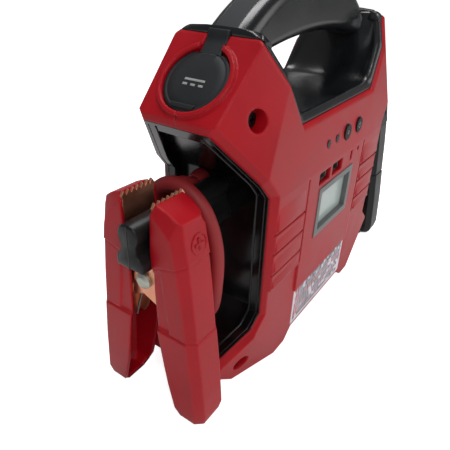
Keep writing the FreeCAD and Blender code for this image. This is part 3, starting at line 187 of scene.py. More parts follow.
# Each plastic's second colour lightens its edges: partly wear, partly a painted highlight.
MATERIALS = {
    "red_plastic": plastic("red_plastic", srgb(160, 2, 19), srgb(224, 40, 52), 0.38, spread=0.09,
                           specular=0.26, radius=0.002, wear_and_highlight_amount=0.42),
    "gloss_black": plastic("gloss_black", srgb(9, 9, 10), srgb(44, 48, 46), 0.17, grain=0.03,
                           spread=0.3, wear_and_highlight_amount=0.35),
    "satin_black": plastic("satin_black", srgb(12, 14, 17), srgb(52, 58, 62), 0.23, grain=0.04, spread=0.25,
                           wear_and_highlight_amount=0.35, specular=0.6),
    "black_plastic": plastic("black_plastic", srgb(13, 14, 16), srgb(50, 51, 53), 0.4, specular=0.32),
    "soft_grip": plastic("soft_grip", srgb(38, 40, 42), srgb(70, 72, 74), 0.68, grain=0.3, grain_size=1500),
    "rubber": plastic("rubber", srgb(27, 29, 32), srgb(58, 62, 66), 0.55, grain=0.2, specular=0.35),
    "grey_plastic": plastic("grey_plastic", srgb(96, 98, 98), srgb(150, 152, 152), 0.42),
    "button_black": plastic("button_black", srgb(12, 12, 13), srgb(46, 46, 48), 0.5, specular=0.2),
    "circuit_board": plastic("circuit_board", srgb(20, 70, 42), srgb(70, 120, 80), 0.4),
    "cell_wrap": plastic("cell_wrap", srgb(40, 78, 130), srgb(90, 120, 160), 0.3, grain=0.03),
    "lead_sheath": plastic("lead_sheath", srgb(140, 20, 26), srgb(190, 60, 60), 0.5),
    "black_sheath": plastic("black_sheath", srgb(26, 26, 28), srgb(62, 62, 64), 0.55, grain=0.25),
    "red_sheath": plastic("red_sheath", srgb(140, 26, 30), srgb(176, 60, 60), 0.6, grain=0.25),
    "black_screw": metal("black_screw", srgb(30, 30, 32), srgb(14, 14, 15), 0.4),
    "steel": metal("steel", srgb(190, 190, 186), srgb(140, 142, 140), 0.3),
    "zinc": metal("zinc", srgb(200, 202, 190), srgb(172, 174, 164), 0.55),
    "copper": metal("copper", srgb(232, 168, 138), srgb(206, 134, 100), 0.36, scale=60),
    "nickel": metal("nickel", srgb(200, 198, 190), srgb(160, 156, 150), 0.3),
    "bright_reflector": metal("bright_reflector", srgb(230, 230, 230), srgb(200, 202, 205), 0.12),
    "display": plastic("display", srgb(168, 180, 176), srgb(200, 210, 206), 0.2, grain=0.02, spread=0.06),
    "dark_lens": plastic("dark_lens", srgb(12, 9, 10), srgb(46, 36, 38), 0.4, grain=0.02, specular=0.2),
    "label_film": plastic("label_film", srgb(222, 218, 226), srgb(232, 230, 234), 0.5, grain=0.05,
                          spread=0.05, specular=0.25),
    "print_white": plastic("print_white", srgb(150, 152, 152), srgb(190, 190, 190), 0.5),
    "print_grey": plastic("print_grey", srgb(34, 32, 38), srgb(60, 58, 62), 0.6, specular=0.2, radius=0.00005,
                          wear_and_highlight_amount=0.0),
    "print_red": plastic("print_red", srgb(170, 10, 22), srgb(190, 70, 76), 0.6, specular=0.2, radius=0.00005,
                         wear_and_highlight_amount=0.0),
    "clear_lens": plastic("clear_lens", srgb(196, 202, 206), srgb(235, 238, 240), 0.08, grain=0.02,
                          spread=0.05),
}

NODE_SLOTS = {
    "red_plastic": ["front_shell", "rear_shell", "left_clamp_front_cover", "left_clamp_rear_cover"],
    "gloss_black": ["left_tray", "right_tray"],
    "satin_black": ["hand_liner", "carry_handle"],
    "black_plastic": ["left_dock_post", "right_dock_post", "socket_holder", "lamp_holder",
                      "socket_contact", "lcd_module", "button_switches", "cell_tray", "cell_cover",
                      "right_clamp_front_cover", "right_clamp_rear_cover"],
    "soft_grip": ["handle_grip"],
    "rubber": ["cap_anchor", "socket_cap", "right_cable_gland"],
    "steel": ["socket_barrel", "usb_port_one", "usb_port_two", "charge_port", "left_clamp_spring",
              "right_clamp_spring"],
    "zinc": ["left_clamp_rivet", "right_clamp_rivet"],
    "clear_lens": ["lamp_lens"],
    "bright_reflector": ["lamp_reflector"],
    "circuit_board": ["lamp_board", "main_board", "charge_board"],
    "grey_plastic": ["lcd_bezel"],
    "display": ["lcd_screen"],
    "dark_lens": ["indicator_leds", "charge_light"],
    "label_film": ["rating_label"],
    "cell_wrap": ["battery_cells"],
    "nickel": ["bus_bars"],
    "lead_sheath": ["power_leads"],
    "black_screw": ["front_screws", "rear_screws"],
    "red_sheath": ["left_cable", "left_cable_gland"],
    "black_sheath": ["right_cable"],
    "button_black": ["power_button", "light_button"],
    "copper": ["left_clamp_crimp", "right_clamp_crimp", "left_clamp_front_jaw", "left_clamp_rear_jaw",
               "right_clamp_front_jaw", "right_clamp_rear_jaw"],
}
for slot_name, members in NODE_SLOTS.items():
    for member in members:
        mesh = nodes[member].data
        mesh.materials.clear()
        mesh.materials.append(MATERIALS[slot_name])


# ---------------------------------------------------------------- shapes in mesh code

def add_mesh(name, points, faces, material, sharp=32.0):
    """One mesh from points in millimetres, smooth except across edges sharper than an angle."""
    mesh = bpy.data.meshes.new(name)
    mesh.from_pydata([tuple(MM * value for value in point) for point in points], [], faces)
    worker = bmesh.new()
    worker.from_mesh(mesh)
    bmesh.ops.remove_doubles(worker, verts=worker.verts, dist=1e-6)
    bmesh.ops.recalc_face_normals(worker, faces=worker.faces)
    worker.to_mesh(mesh)
    worker.free()
    mesh.shade_smooth()
    mesh.set_sharp_from_angle(angle=math.radians(sharp))
    mesh.materials.append(material)
    made = bpy.data.objects.new(name, mesh)
    bpy.context.scene.collection.objects.link(made)
    return made


def loft(rings, closed=True, cap_start=True, cap_end=True):
    """Points and faces of a skin through rings of equal length."""
    points = [point for ring in rings for point in ring]
    count = len(rings[0])
    faces = []
    spans = count if closed else count - 1
    for row in range(len(rings) - 1):
        for step in range(spans):
            after = (step + 1) % count
            low, high = row * count, (row + 1) * count
            faces.append((low + step, low + after, high + after, high + step))
    if cap_start:
        faces.append(tuple(range(count - 1, -1, -1)))
    if cap_end:
        faces.append(tuple((len(rings) - 1) * count + step for step in range(count)))
    return points, faces


def soften(piece, width, segments=2, angle=28.0):
    """Rounds every edge of a piece that is sharper than an angle."""
    bevel = piece.modifiers.new("rounded_edges", "BEVEL")
    bevel.width = width * MM
    bevel.segments = segments
    bevel.limit_method = "ANGLE"
    bevel.angle_limit = math.radians(angle)
    bevel.harden_normals = True


def spline(points, steps):
    """A smooth curve through points, as evenly stepped samples."""
    path = [Vector(point) for point in points]
    path = [path[0] * 2 - path[1]] + path + [path[-1] * 2 - path[-2]]
    samples = []
    for start in range(1, len(path) - 2):
        before, first, last, after = path[start - 1:start + 3]
        for step in range(steps):
            t = step / steps
            samples.append(0.5 * (2 * first + (last - before) * t
                                  + (2 * before - 5 * first + 4 * last - after) * t * t
                                  + (3 * first - before - 3 * last + after) * t ** 3))
    samples.append(path[-2])
    return samples


def tube_rings(path, radius, count):
    """Rings around a path, each turned as little as possible from the one before."""
    tangents = []
    for step in range(len(path)):
        ahead = path[min(step + 1, len(path) - 1)]
        behind = path[max(step - 1, 0)]
        tangents.append((ahead - behind).normalized())
    side = tangents[0].orthogonal().normalized()
    rings = []
    for point, tangent in zip(path, tangents):
        side = (side - tangent * side.dot(tangent)).normalized()
        other = tangent.cross(side)
        rings.append([point + (side * math.cos(turn) + other * math.sin(turn)) * radius
                      for turn in (2 * math.pi * k / count for k in range(count))])
    return rings


def add_tube(name, points, radius, material, steps, count):
    """A round bar along a smooth curve: steps from point to point, count corners around."""
    return add_mesh(name, *loft(tube_rings(spline(points, steps), radius, count)), material, 60)


def revolve(profile, place, count=64):
    """Rings of a turned shape: profile in (radius, height); place maps (a, b, height) to the frame."""
    rings = []
    for radius, height in profile:
        radius = max(radius, 0.01)
        rings.append([place(radius * math.cos(2 * math.pi * k / count),
                            radius * math.sin(2 * math.pi * k / count), height) for k in range(count)])
    return rings


def add_box(name, low, high, material, rounding, place=None):
    """A small block with rounded edges, between two corners; place may turn it into another frame."""
    corners = [(x, y, z) for x in (low[0], high[0]) for y in (low[1], high[1]) for z in (low[2], high[2])]
    if place:
        corners = [place(*corner) for corner in corners]
    faces = [(0, 1, 3, 2), (4, 6, 7, 5), (0, 4, 5, 1), (2, 3, 7, 6), (0, 2, 6, 4), (1, 5, 7, 3)]
    piece = add_mesh(name, corners, faces, material)
    soften(piece, rounding)
    return piece


def between(table, key):
    """Linear reading of a table of (key, value) rows sorted by falling key."""
    for (high, value_high), (low, value_low) in zip(table, table[1:]):
        if key >= low:
            share = min(1.0, (high - key) / (high - low))
            return value_high + (value_low - value_high) * share
    return table[-1][1]


def settle(piece, body, stands_for=None):
    """Rides a piece on a body and hides the design part whose place it takes."""
    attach(piece, body)
    if stands_for:
        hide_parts(stands_for)


# ---------------------------------------------------------------- hand opening

# The right half of the opening's outline in (x, z): by the handle's root, at the bend, at the sill's end.
PEAK, BEND, SILL = (81.6, 201.4), (62.0, 171.0), (53.0, 157.0)
CASE_HALF_DEPTH = 40.0
LEAN_FOOT_Z, LEAN = 124.6, 0.09
# Each facet: a point (x, z) on its edge, the direction across the edge, how fast it falls.
FACETS = [((63, 171), (0.797, 0.604), 0.42), ((60, 0), (0.78, -0.625), 0.37)]
ROOT_FOOT_Z, ROOT_HEIGHT, ROOT_HALF_DEPTH, ROOT_SWELL = 176, 25, 13.5, 6.5
SADDLE_SET_BACK = 2.4


def face_fall(x, z):
    """How far the corner facets and the leaning upper face bring the case's face in at a point."""
    falls = [LEAN * max(0.0, z - LEAN_FOOT_Z)]
    for (edge_x, edge_z), (across_x, across_z), slope in FACETS:
        falls.append(slope * max(0.0, (abs(x) - edge_x) * across_x + (z - edge_z) * across_z))
    return max(falls)


def opening_path(inset, smoothing):
    """The hand opening's outline from the left peak round to the right one, set in and smoothed."""
    corners = [(-PEAK[0], PEAK[1]), (-BEND[0], BEND[1]), (-SILL[0], SILL[1]), SILL, BEND, PEAK]
    path = []
    for start, end in zip(corners, corners[1:]):
        first, last = Vector(start), Vector(end)
        pieces = max(2, int((last - first).length / 1.5))
        path += [first.lerp(last, k / pieces) for k in range(pieces)]
    path.append(Vector(PEAK))
    for _ in range(smoothing):
        path = [path[0]] + [(path[k - 1] + path[k] * 2 + path[k + 1]) / 4
                            for k in range(1, len(path) - 1)] + [path[-1]]
    moved = []
    for step, spot in enumerate(path):
        ahead, behind = path[min(step + 1, len(path) - 1)], path[max(step - 1, 0)]
        along = (ahead - behind).normalized()
        moved.append(spot + Vector((-along.y, along.x)) * inset)
    return moved


def root_swell(z, depth):
    """How far the saddle swells inwards where it meets the handle's root."""
    high = max(0.0, (z - ROOT_FOOT_Z) / ROOT_HEIGHT)
    away = max(0.0, abs(depth) - ROOT_HALF_DEPTH)
    return ROOT_SWELL * high ** 1.5 * math.exp(-(away / 6) ** 2) * (1 - 0.35 * high)


def add_saddle():
    """The black saddle of the hand opening: a rim that follows the case, then one smooth bowl."""
    # Rows from the rim to the middle plane: share of the depth, inset from the outline, smoothing rounds.
    rows = [
        (1.0, 0.2, 0), (1.0, 1.0, 2), (0.985, 2.6, 8), (0.95, 4.2, 16), (0.9, 4.9, 30), (0.86, 4.4, 40),
        (0.8, 3.4, 60), (0.7, 2.6, 90), (0.56, 2.3, 110), (0.4, 2.3, 120), (0.2, 2.3, 120), (0, 2.3, 120),
    ]
    paths = [opening_path(inset, smoothing) for _, inset, smoothing in rows]
    outline = paths[0]
    rings = []
    order = list(range(len(rows))) + list(range(len(rows) - 2, -1, -1))
    for place, row in enumerate(order):
        facing = -1 if place < len(rows) else 1
        ring = []
        for spot, edge in zip(paths[row], outline):
            if edge.y > BEND[1]:
                narrow = 0.55 * min(1.0, (edge.y - BEND[1]) / 12) * (1 - min(1.0, row / 5))
                spot = spot.lerp(edge, narrow)
            depth = (CASE_HALF_DEPTH - face_fall(*edge) - SADDLE_SET_BACK) * rows[row][0]
            swell = root_swell(spot.y, depth)
            ring.append((spot.x - math.copysign(swell, spot.x), facing * depth, spot.y + 0.1 * swell))
        rings.append(ring)
    points, faces = loft(rings, closed=False, cap_start=False, cap_end=False)
    saddle = add_mesh("hand_saddle", points, faces, MATERIALS["satin_black"], 50)
    shell = saddle.modifiers.new("wall", "SOLIDIFY")
    shell.thickness = 1.2 * MM
    shell.offset = -1
    settle(saddle, "case", "hand_liner")


def add_collar(side):
    """The ledge between a shoulder's upper edge and the handle's root."""
    half = [(-25.0, -1.2), (-22.5, 1.0), (-18.0, 2.9), (-9.0, 3.6), (0.0, 3.7)]
    stations = half + [(-y, rise) for y, rise in reversed(half[:-1])]
    foot_x, foot_z = PEAK[0] - 0.5, PEAK[1] + 0.1
    rings = []
    for y, rise in stations:
        section = [(6.2, -7.5), (0, -0.4), (0.1, rise * 0.6), (1.3, rise), (4.6, rise * 0.85), (7.2, -3.0)]
        rings.append([(side * (foot_x - inward), y, foot_z + up) for inward, up in section])
    collar = add_mesh(f"{HANDS[side]}_collar", *loft(rings), MATERIALS["satin_black"], 50)
    settle(collar, "case")


# ---------------------------------------------------------------- cap and strap

SHOULDER_X, SHOULDER_Z = 99.75, 183.5


def on_left_shoulder(up, rear, out):
    """A point in the frame from millimetres up the left shoulder's slope, to the rear and outwards."""
    slope = math.sqrt(0.5)
    return (-(SHOULDER_X - slope * up + slope * out), rear, SHOULDER_Z + slope * up + slope * out)


def add_cap_disc():
    """The round cap with a thin outer flange and a plug that sits in the socket."""
    flange_top = 14.4
    profile = [(0, 0.3), (5, 0.3), (11, 0.2), (14.8, 0.1), (15.1, -0.15), (15.5, -0.15), (15.8, 0.1),
               (16.9, 0.05), (17.5, -0.3), (17.7, -0.9), (17.6, -2.1), (10.1, -2.15), (8.7, -8.1), (7, -8.1),
               (7, -2.7), (0, -2.7)]

    def flat_by_strap(up, rear, out):
        """The flange is cut straight on the strap's side, to turn clear of the recess around it."""
        return on_left_shoulder(min(up, flange_top), rear, out)
    points, faces = loft(revolve(profile, flat_by_strap), cap_start=False, cap_end=False)
    settle(add_mesh("cap_disc", points, faces, MATERIALS["rubber"], 40), "cap", "socket_cap")


def add_cap_lip():
    """The finger lip at the cap's lower edge."""
    rings = []
    for y in (-7.2, -6.4, -3, 0, 3, 6.4, 7.2):
        section = [(-16.1, y * 0.75, -0.45), (-15.7, y * 0.8, 0.65), (-13.4, y, 0.75), (-12.6, y, -0.4)]
        rings.append([on_left_shoulder(*spot) for spot in section])
    lip = add_mesh("cap_lip", *loft(rings), MATERIALS["rubber"])
    soften(lip, 0.35)
    settle(lip, "cap")


def add_cap_strap():
    """The strap that bends when the cap opens, drawn here in one fixed pose, with a knob at its fixed end."""
    # Along the strap: how far up the slope, how far out, half its width.
    stations = [(11.5, -1.2, 6.9), (14.5, -1.2, 6.2), (16.8, -1.25, 6.1), (18.6, -1.25, 6.1),
                (20.5, -1.25, 6.1), (22.6, -1.2, 6.15), (24.4, -0.7, 6.25), (25.8, 0.2, 6.3),
                (27.2, 0.4, 6.3), (28.6, -0.5, 6.1)]
    thick, corner, knob = 0.95, 0.4, 26.2
    rings = []
    for up, out, half in stations:
        swell = 0.45 * max(0.0, 1 - abs(up - knob) / 2.6)
        ring = [(-half, -thick), (half, -thick), (half, thick - corner), (half - corner, thick + swell),
                (-half + corner, thick + swell), (-half, thick - corner)]
        rings.append([on_left_shoulder(up, rear, out + high) for rear, high in ring])
    strap = add_mesh("cap_strap", *loft(rings), MATERIALS["rubber"], 40)
    fixed, free = on_left_shoulder(20.2, 0, -1.25), on_left_shoulder(17.0, 0, -1.25)
    [MM * v for v in fixed]
    [MM * v for v in free]
    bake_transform(strap)
    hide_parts("cap_anchor")


def add_cap_symbol():
    """The direct-current sign on the cap: one long bar above three short ones."""
    bars = [((-1.0, -6.0), (0.2, 6.0)), ((-3.6, -6.0), (-2.4, -3.2)), ((-3.6, -1.4), (-2.4, 1.4)),
            ((-3.6, 3.2), (-2.4, 6.0))]
    for number, (low, high) in enumerate(bars):
        bar = add_box(f"cap_symbol_{number}", (*low, 0.15), (*high, 0.38), MATERIALS["print_white"], 0.05,
                      on_left_shoulder)
        settle(bar, "cap")


# ---------------------------------------------------------------- clamps

# The left clamp's front cover: its sides in x, then its lip, back and side recess as (z, depth) rows.
OUT_X, IN_X, CLAMP_X = -144.5, -120.5, -132.5
TIP_Z = 1.9
LIP = [(138, 10.7), (133, 9.2), (126, 8.4), (116, 8.2), (108, 8.8), (84, 8.6), (62, 9.6), (28, 15.4),
       (12, 19.2), (6, 22.0), (TIP_Z, 28.0)]
BACK = [(138, 22.0), (128, 24.6), (111, 27.6), (90, 30.2), (70, 32.2), (41, 35.4), (12, 37.8),
        (5, 36.5), (TIP_Z, 33.5)]
RECESS = [(112, 13.4), (88, 15.0), (66, 18.0), (1, 24.0)]
# How far a level lifts at its outer lip, outer side, outer bevel, back and inner side.
FLAT, UPPER = (0, 0, 0, 0, 0), (-3, -2, 0, 0, 0)
SEAM, WAIST = (-6.5, -4.0, -1.0, 0.6, -2.2), (0, 0, 0, -1.0, -1.5)
# The cover's levels: height, growth all round, depth of the strip along its lip, lift.
LEVELS = [
    (118.0, 0.35, 0.0, UPPER), (110.6, 0.45, 0.0, SEAM), (110.0, -0.35, 0.0, SEAM), (109.3, 0.0, 0.0, SEAM),
    (107.6, 0.0, 0.9, SEAM), (90.0, 0.0, 0.9, FLAT), (67.6, 0.0, 0.9, WAIST), (66.9, 0.05, 0.0, WAIST),
    (66.0, -0.6, 0.1, WAIST), (65.2, 0.35, 0.0, WAIST), (41.0, 0.3, 0.0, FLAT), (28.0, 0.2, 0.0, FLAT),
    (12.0, 0.1, 0.0, FLAT),
]
POST_TIP_X, POST_Z = -150.9, 116


def mirrored_points(points, side, front):
    """Left front points moved to another clamp (side 1 is the right one) or its rear lever (front -1)."""
    return [(x if side < 0 else -x, y if front > 0 else -y, z) for x, y, z in points]


def cover_ring(z, grow, strip, lift):
    """One level of a cover around its back: ten points from the outer lip to the inner lip."""
    lip, back = between(LIP, z), between(BACK, z) + grow
    bevel = 4.2 + grow * 0.4
    recess = min(between(RECESS, z), back - bevel - 1.0)
    out_x, in_x = OUT_X - grow, IN_X + grow
    lip_lift, side_lift, bevel_lift, back_lift, inner_lift = lift
    spots = [
        (out_x + strip, lip, lip_lift), (out_x + strip, recess - 0.7, side_lift),
        (out_x, recess, side_lift), (out_x, back - bevel, bevel_lift),
        (out_x + bevel, back, back_lift), (in_x - bevel, back, back_lift),
        (in_x, back - bevel, inner_lift), (in_x, recess, inner_lift),
        (in_x - strip, recess - 0.7, inner_lift), (in_x - strip, lip, inner_lift),
    ]
    return [(x, -depth, z + rise) for x, depth, rise in spots]


def narrowed(ring, share):
    """A level drawn in towards the clamp's middle."""
    return [(CLAMP_X + (x - CLAMP_X) * share, y, z) for x, y, z in ring]


def cover_rings():
    """All levels of a cover from its sloping top down to its pointed end."""
    top = [(-142.6, 11.2, 138.6), (-142.3, 15.5, 137.0), (-142.0, 18.5, 135.6), (-141.2, 22.4, 132.8),
           (-139.4, 24.2, 131.2), (-127.0, 24.6, 131.0), (-124.8, 22.4, 132.4), (-124.4, 18.5, 135.2),
           (-124.2, 15.5, 136.6), (-124.0, 11.2, 138.2)]
    below_top = [(-144.7, 9.4, 134.0), (-144.8, 13.6, 130.4), (-144.8, 16.4, 128.2), (-144.8, 20.6, 124.2),
                 (-140.4, 25.2, 126.6), (-124.6, 25.2, 126.6), (-120.3, 20.6, 124.6), (-120.3, 16.4, 128.4),
                 (-120.3, 13.6, 130.6), (-120.3, 9.4, 134.0)]
    rings = [[(x, -depth, z) for x, depth, z in level] for level in (top, below_top)]
    rings += [cover_ring(*level) for level in LEVELS]
    rings.append(narrowed(cover_ring(6.0, 0.0, 0.0, FLAT), 0.9))
    rings.append(narrowed(cover_ring(TIP_Z, 0.0, 0.0, FLAT), 0.55))
    return rings


def add_cover(side, front, finish):
    """A lever's plastic cover: a bent channel with a closed top and tip."""
    rings = cover_rings()
    points, faces = loft(rings, closed=False, cap_start=False, cap_end=False)
    wide = len(rings[0])
    for first in (0, (len(rings) - 1) * wide):
        for step in range(wide // 2 - 1):
            low, high = first + step, first + wide - 1 - step
            faces.append((low, low + 1, high - 1, high))
    hand, end = HANDS[side], ENDS[front]
    points = mirrored_points(points, side, front)
    cover = add_mesh(f"{hand}_{end}_cover", points, faces, MATERIALS[finish])
    shell = cover.modifiers.new("wall", "SOLIDIFY")
    shell.thickness = 1.7 * MM
    shell.offset = -1
    shell.use_even_offset = False
    soften(cover, 0.55, 3, 18)
    settle(cover, f"{hand}_{end}_lever", f"{hand}_clamp_{end}_cover")


def add_sign(side, front, finish):
    """The raised round pad with a plus or a minus near a cover's top."""
    name = f"{HANDS[side]}_{ENDS[front]}"
    middle_x, middle_z, lean = -131.0, 118.6, 0.135

    def place(across, up, out):
        y = -(between(BACK, middle_z) + 0.45) + lean * up - out
        spot = (middle_x + across, y, middle_z + up)
        return mirrored_points([spot], side, front)[0]
    profile = [(5.6, -0.2), (5.6, 0.22), (4.9, 0.3), (4.7, 0.0), (4.7, -0.2)]
    points, faces = loft(revolve(profile, place, 48), cap_start=False, cap_end=False)
    settle(add_mesh(f"{name}_sign_ring", points, faces, MATERIALS[finish], 40), f"{name}_lever")
    long, half = 3.2, 0.75
    bars = [((-long, -half), (long, half))]
    if side < 0:
        bars += [((-half, -long), (half, -half)), ((-half, half), (half, long))]
    for number, (low, high) in enumerate(bars):
        bar = add_box(f"{name}_sign_{number}", (*low, -0.2), (*high, 0.3), MATERIALS[finish], 0.12, place)
        settle(bar, f"{name}_lever")


def add_arm(side, front):
    """The copper channel that carries on from a jaw down into its cover, where the spring's leg rests."""
    # Down the channel: height, depth of its mouth, depth of its back.
    stations = [(84, 10.5, 18.6), (76, 11.5, 19.6), (66, 13, 21.5), (56, 15.6, 23), (51, 19, 23.8)]
    low_x, high_x, thick = -140.2, -124.8, 1.2
    rings = []
    for z, mouth, back in stations:
        ring = [(low_x, -mouth, z), (low_x + thick, -mouth, z), (low_x + thick, thick - back, z),
                (high_x - thick, thick - back, z), (high_x - thick, -mouth, z), (high_x, -mouth, z),
                (high_x, -back, z), (low_x, -back, z)]
        rings.append(mirrored_points(ring, side, front))
    name = f"{HANDS[side]}_{ENDS[front]}"
    settle(add_mesh(f"{name}_arm", *loft(rings), MATERIALS["copper"], 40), f"{name}_lever")


def add_lead(side, finish):
    """A clamp's lead: out of the case, down a loop, over the post and into the clamp's side."""
    line = [
        (-73.2, 12.5, 121), (-79.5, 12.5, 121), (-86.5, 12.6, 121.2), (-94, 15, 124), (-100, 20.5, 121),
        (-103.2, 23.5, 110), (-105, 21.5, 86), (-106, 12, 58), (-108, -3, 49), (-110.5, -18.5, 61),
        (-112.7, -23.5, 84), (-113, -23.2, 106), (-113, -17, 123), (-113, -5.5, 132.8), (-113, 7, 133.2),
        (-113, 17.5, 124), (-113.2, 20.5, 106), (-113.6, 14.5, 86), (-115, 5.5, 75), (-119.5, 1, 72.3),
        (-124, 0, 72), (-129.7, 0, 72),
    ]
    hand = HANDS[side]
    radius, case_end_x, clamp_end_x, height = 3.9, 88 * MM, 121 * MM, 100 * MM
    lead = add_tube(f"{hand}_lead", mirrored_points(line, side, 1), radius, MATERIALS[finish], 8, 24)
    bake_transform(lead)
    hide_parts(f"{hand}_cable")


def add_spring(side):
    """The torsion spring: coils around the rivet and two legs that press the covers apart."""
    pivot_z, turns, steps, radius, half, wire = 92.0, 4, 16, 5.2, 3.8, 0.8
    coil = []
    for step in range(turns * steps + 1):
        angle = -math.pi / 2 + 2 * math.pi * step / steps
        coil.append((CLAMP_X - half + 2 * half * step / (turns * steps), radius * math.cos(angle),
                     pivot_z + radius * math.sin(angle)))
    start_x, end_x = coil[0][0], coil[-1][0]
    front_leg = [(start_x + 0.5, -21.5, 50.0), (start_x, -17.0, 66.0), (start_x, -10.0, 82.0)]
    rear_leg = [(end_x, 10.0, 82.0), (end_x, 17.0, 66.0), (end_x - 0.5, 21.5, 50.0)]
    hand = HANDS[side]
    line = mirrored_points(front_leg + coil + rear_leg, side, 1)
    spring = add_tube(f"{hand}_spring", line, wire, MATERIALS["steel"], 2, 10)
    settle(spring, f"{hand}_clamp", f"{hand}_clamp_spring")
    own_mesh(spring)


def add_post(side):
    """A docking post with a rounded head, a neck and a flared foot, on the tray's floor."""
    half = [(8.2, -12.3), (8.4, -11.0), (8.5, -8.4), (7.9, -6.2), (6.6, -4.4), (5.2, -2.8), (4.5, -0.8),
            (4.7, 1.4), (5.6, 3.2), (6.1, 5.6), (6.0, 8.0), (5.1, 10.0), (3.4, 11.4), (1.2, 11.95)]
    section = half + [(-y, z) for y, z in reversed(half)]
    # Along the post: the place in x and the section's share of its full size.
    stations = [(-77.9, 1.0), (-100, 1.0), (-130, 1.0), (POST_TIP_X + 1.0, 1.0), (POST_TIP_X + 0.3, 0.97),
                (POST_TIP_X, 0.9)]
    rings = []
    for x, share in stations:
        ring = [(x, y * share, POST_Z + z * share) for y, z in section]
        rings.append(mirrored_points(ring, side, 1))
    post = add_mesh(f"{HANDS[side]}_post", *loft(rings), MATERIALS["black_plastic"], 50)
    settle(post, "case", f"{HANDS[side]}_dock_post")


def add_post_seam(side):
    """The moulding seam down the end of a docking post."""
    out_x, in_x, half, low_z, high_z = POST_TIP_X - 0.1, POST_TIP_X + 0.6, 0.3, POST_Z - 12.1, POST_Z + 11.4
    corners = [(out_x, -half), (out_x, half), (in_x, half), (in_x, -half)]
    rings = [mirrored_points([(x, y, z) for x, y in corners], side, 1) for z in (low_z, high_z)]
    seam = add_mesh(f"{HANDS[side]}_post_seam", *loft(rings), MATERIALS["black_plastic"])
    settle(seam, "case")


def add_tray_beads(side):
    """Thin raised lines on a tray's rim: along the well's edge and near the case."""
    line = [(-111.5, 28.0), (-93.2, 41.4), (-84.1, 48.2), (-84.1, 125.9), (-90.8, 134.3), (-113.4, 161.4)]
    beads = [(28.4, 0.0, 0.5), (33.4, 0.1, 0.35)]
    for front, end in ENDS.items():
        for number, (depth, inset, size) in enumerate(beads):
            path = [Vector((x + inset, -depth + face_fall(x, z), z)) for x, z in line]
            rings = [mirrored_points(ring, side, front) for ring in tube_rings(path, size, 10)]
            bead = add_mesh(f"{HANDS[side]}_{end}_bead_{number}", *loft(rings), MATERIALS["gloss_black"], 60)
            settle(bead, "case")


# ---------------------------------------------------------------- front panel

def add_ribs(front):
    """The side ribs of one face: overlapping bands that stand out along their lower edges."""
    bands = [(121.8, 104.4), (101.6, 91.4), (88.6, 76.9), (74.1, 65.2)]
    near, far, end_width, rise, face = 47.2, 79.2, 1.2, 1.1, CASE_HALF_DEPTH
    for side, hand in HANDS.items():
        for number, (top, bottom) in enumerate(bands):
            high = top - 1.2
            rings = []
            for x in (near, near + end_width, far - end_width, far):
                proud = rise if near < x < far else rise * 0.35
                section = [(high, face - 0.1), (high - (top - bottom) * 0.45, face - 0.05 + proud * 0.3),
                           (bottom + 1.0, face + proud * 0.9), (bottom + 0.35, face + proud * 0.75),
                           (bottom, face - 0.4), (bottom, face - 0.8), (high, face - 0.8)]
                rings.append([(side * x, -front * depth, z) for z, depth in section])
            rib = add_mesh(f"{hand}_{ENDS[front]}_rib_{number}", *loft(rings), MATERIALS["red_plastic"], 30)
            settle(rib, "case")


def add_label_marks():
    """Rows of plain strokes that stand in for print: they spell nothing."""
    label_y, left, right = -38.76, -40.0, 39.6
    rows, foot, pitch, red_rows, red_column = 9, 12.4, 3.0, (2, 5), -34
    # Each draw follows from the one before, so the strokes come out alike every time.
    draw = 7
    marks = {"print_grey": [], "print_red": []}
    for row in range(rows):
        z = foot + row * pitch
        x = left
        while x < right - 0.6:
            draw = (draw * 1103515245 + 12345) % 2147483648
            wide = 1.1 + (draw >> 16) % 5 * 0.55
            kind = "print_red" if (row in red_rows or x < red_column) and draw % 3 else "print_grey"
            tall = 1.9 if (draw >> 8) % 4 else 2.4
            if (draw >> 12) % 6:
                marks[kind].append((x, z, min(wide, right - x), tall))
            x += wide + 0.7
    for kind, strokes in marks.items():
        points, faces = [], []
        for x, z, wide, tall in strokes:
            faces.append(tuple(range(len(points), len(points) + 4)))
            points += [(x, label_y, z), (x + wide, label_y, z), (x + wide * 0.9, label_y, z + tall),
                       (x + wide * 0.1, label_y, z + tall)]
        layer = add_mesh(f"label_{kind}", points, faces, MATERIALS[kind])
        ink = layer.modifiers.new("ink", "SOLIDIFY")
        ink.thickness = 0.04 * MM
        settle(layer, "case")


BUTTON_Z, POWER_X, LIGHT_X = 138, 28.9, 9.1
MARK_FRONT_Y, MARK_REAR_Y = -39.76, -39.56


def add_mark_ring(name, body, x, radius, width, start, stop):
    """An arc on a button, between two angles in degrees from the top."""
    steps = 28
    corners = [(radius, MARK_FRONT_Y), (radius + width, MARK_FRONT_Y), (radius + width, MARK_REAR_Y),
               (radius, MARK_REAR_Y)]
    rings = []
    for step in range(steps + 1):
        turn = math.radians(start + (stop - start) * step / steps)
        rings.append([(x + reach * math.sin(turn), y, BUTTON_Z + reach * math.cos(turn))
                      for reach, y in corners])
    settle(add_mesh(name, *loft(rings), MATERIALS["print_white"]), body)


def add_button_marks():
    """A power mark and a lamp mark, moulded in light rubber on the two buttons."""
    add_mark_ring("power_mark_ring", "power_key", POWER_X, 1.5, 0.45, 35, 325)
    bar = add_box("power_mark_bar", (POWER_X - 0.22, MARK_FRONT_Y, BUTTON_Z + 0.4),
                  (POWER_X + 0.22, MARK_REAR_Y, BUTTON_Z + 2.2), MATERIALS["print_white"], 0.05)
    settle(bar, "power_key")
    add_mark_ring("light_mark_ring", "light_key", LIGHT_X, 0.9, 0.4, 0, 359.9)


# ---------------------------------------------------------------- every piece

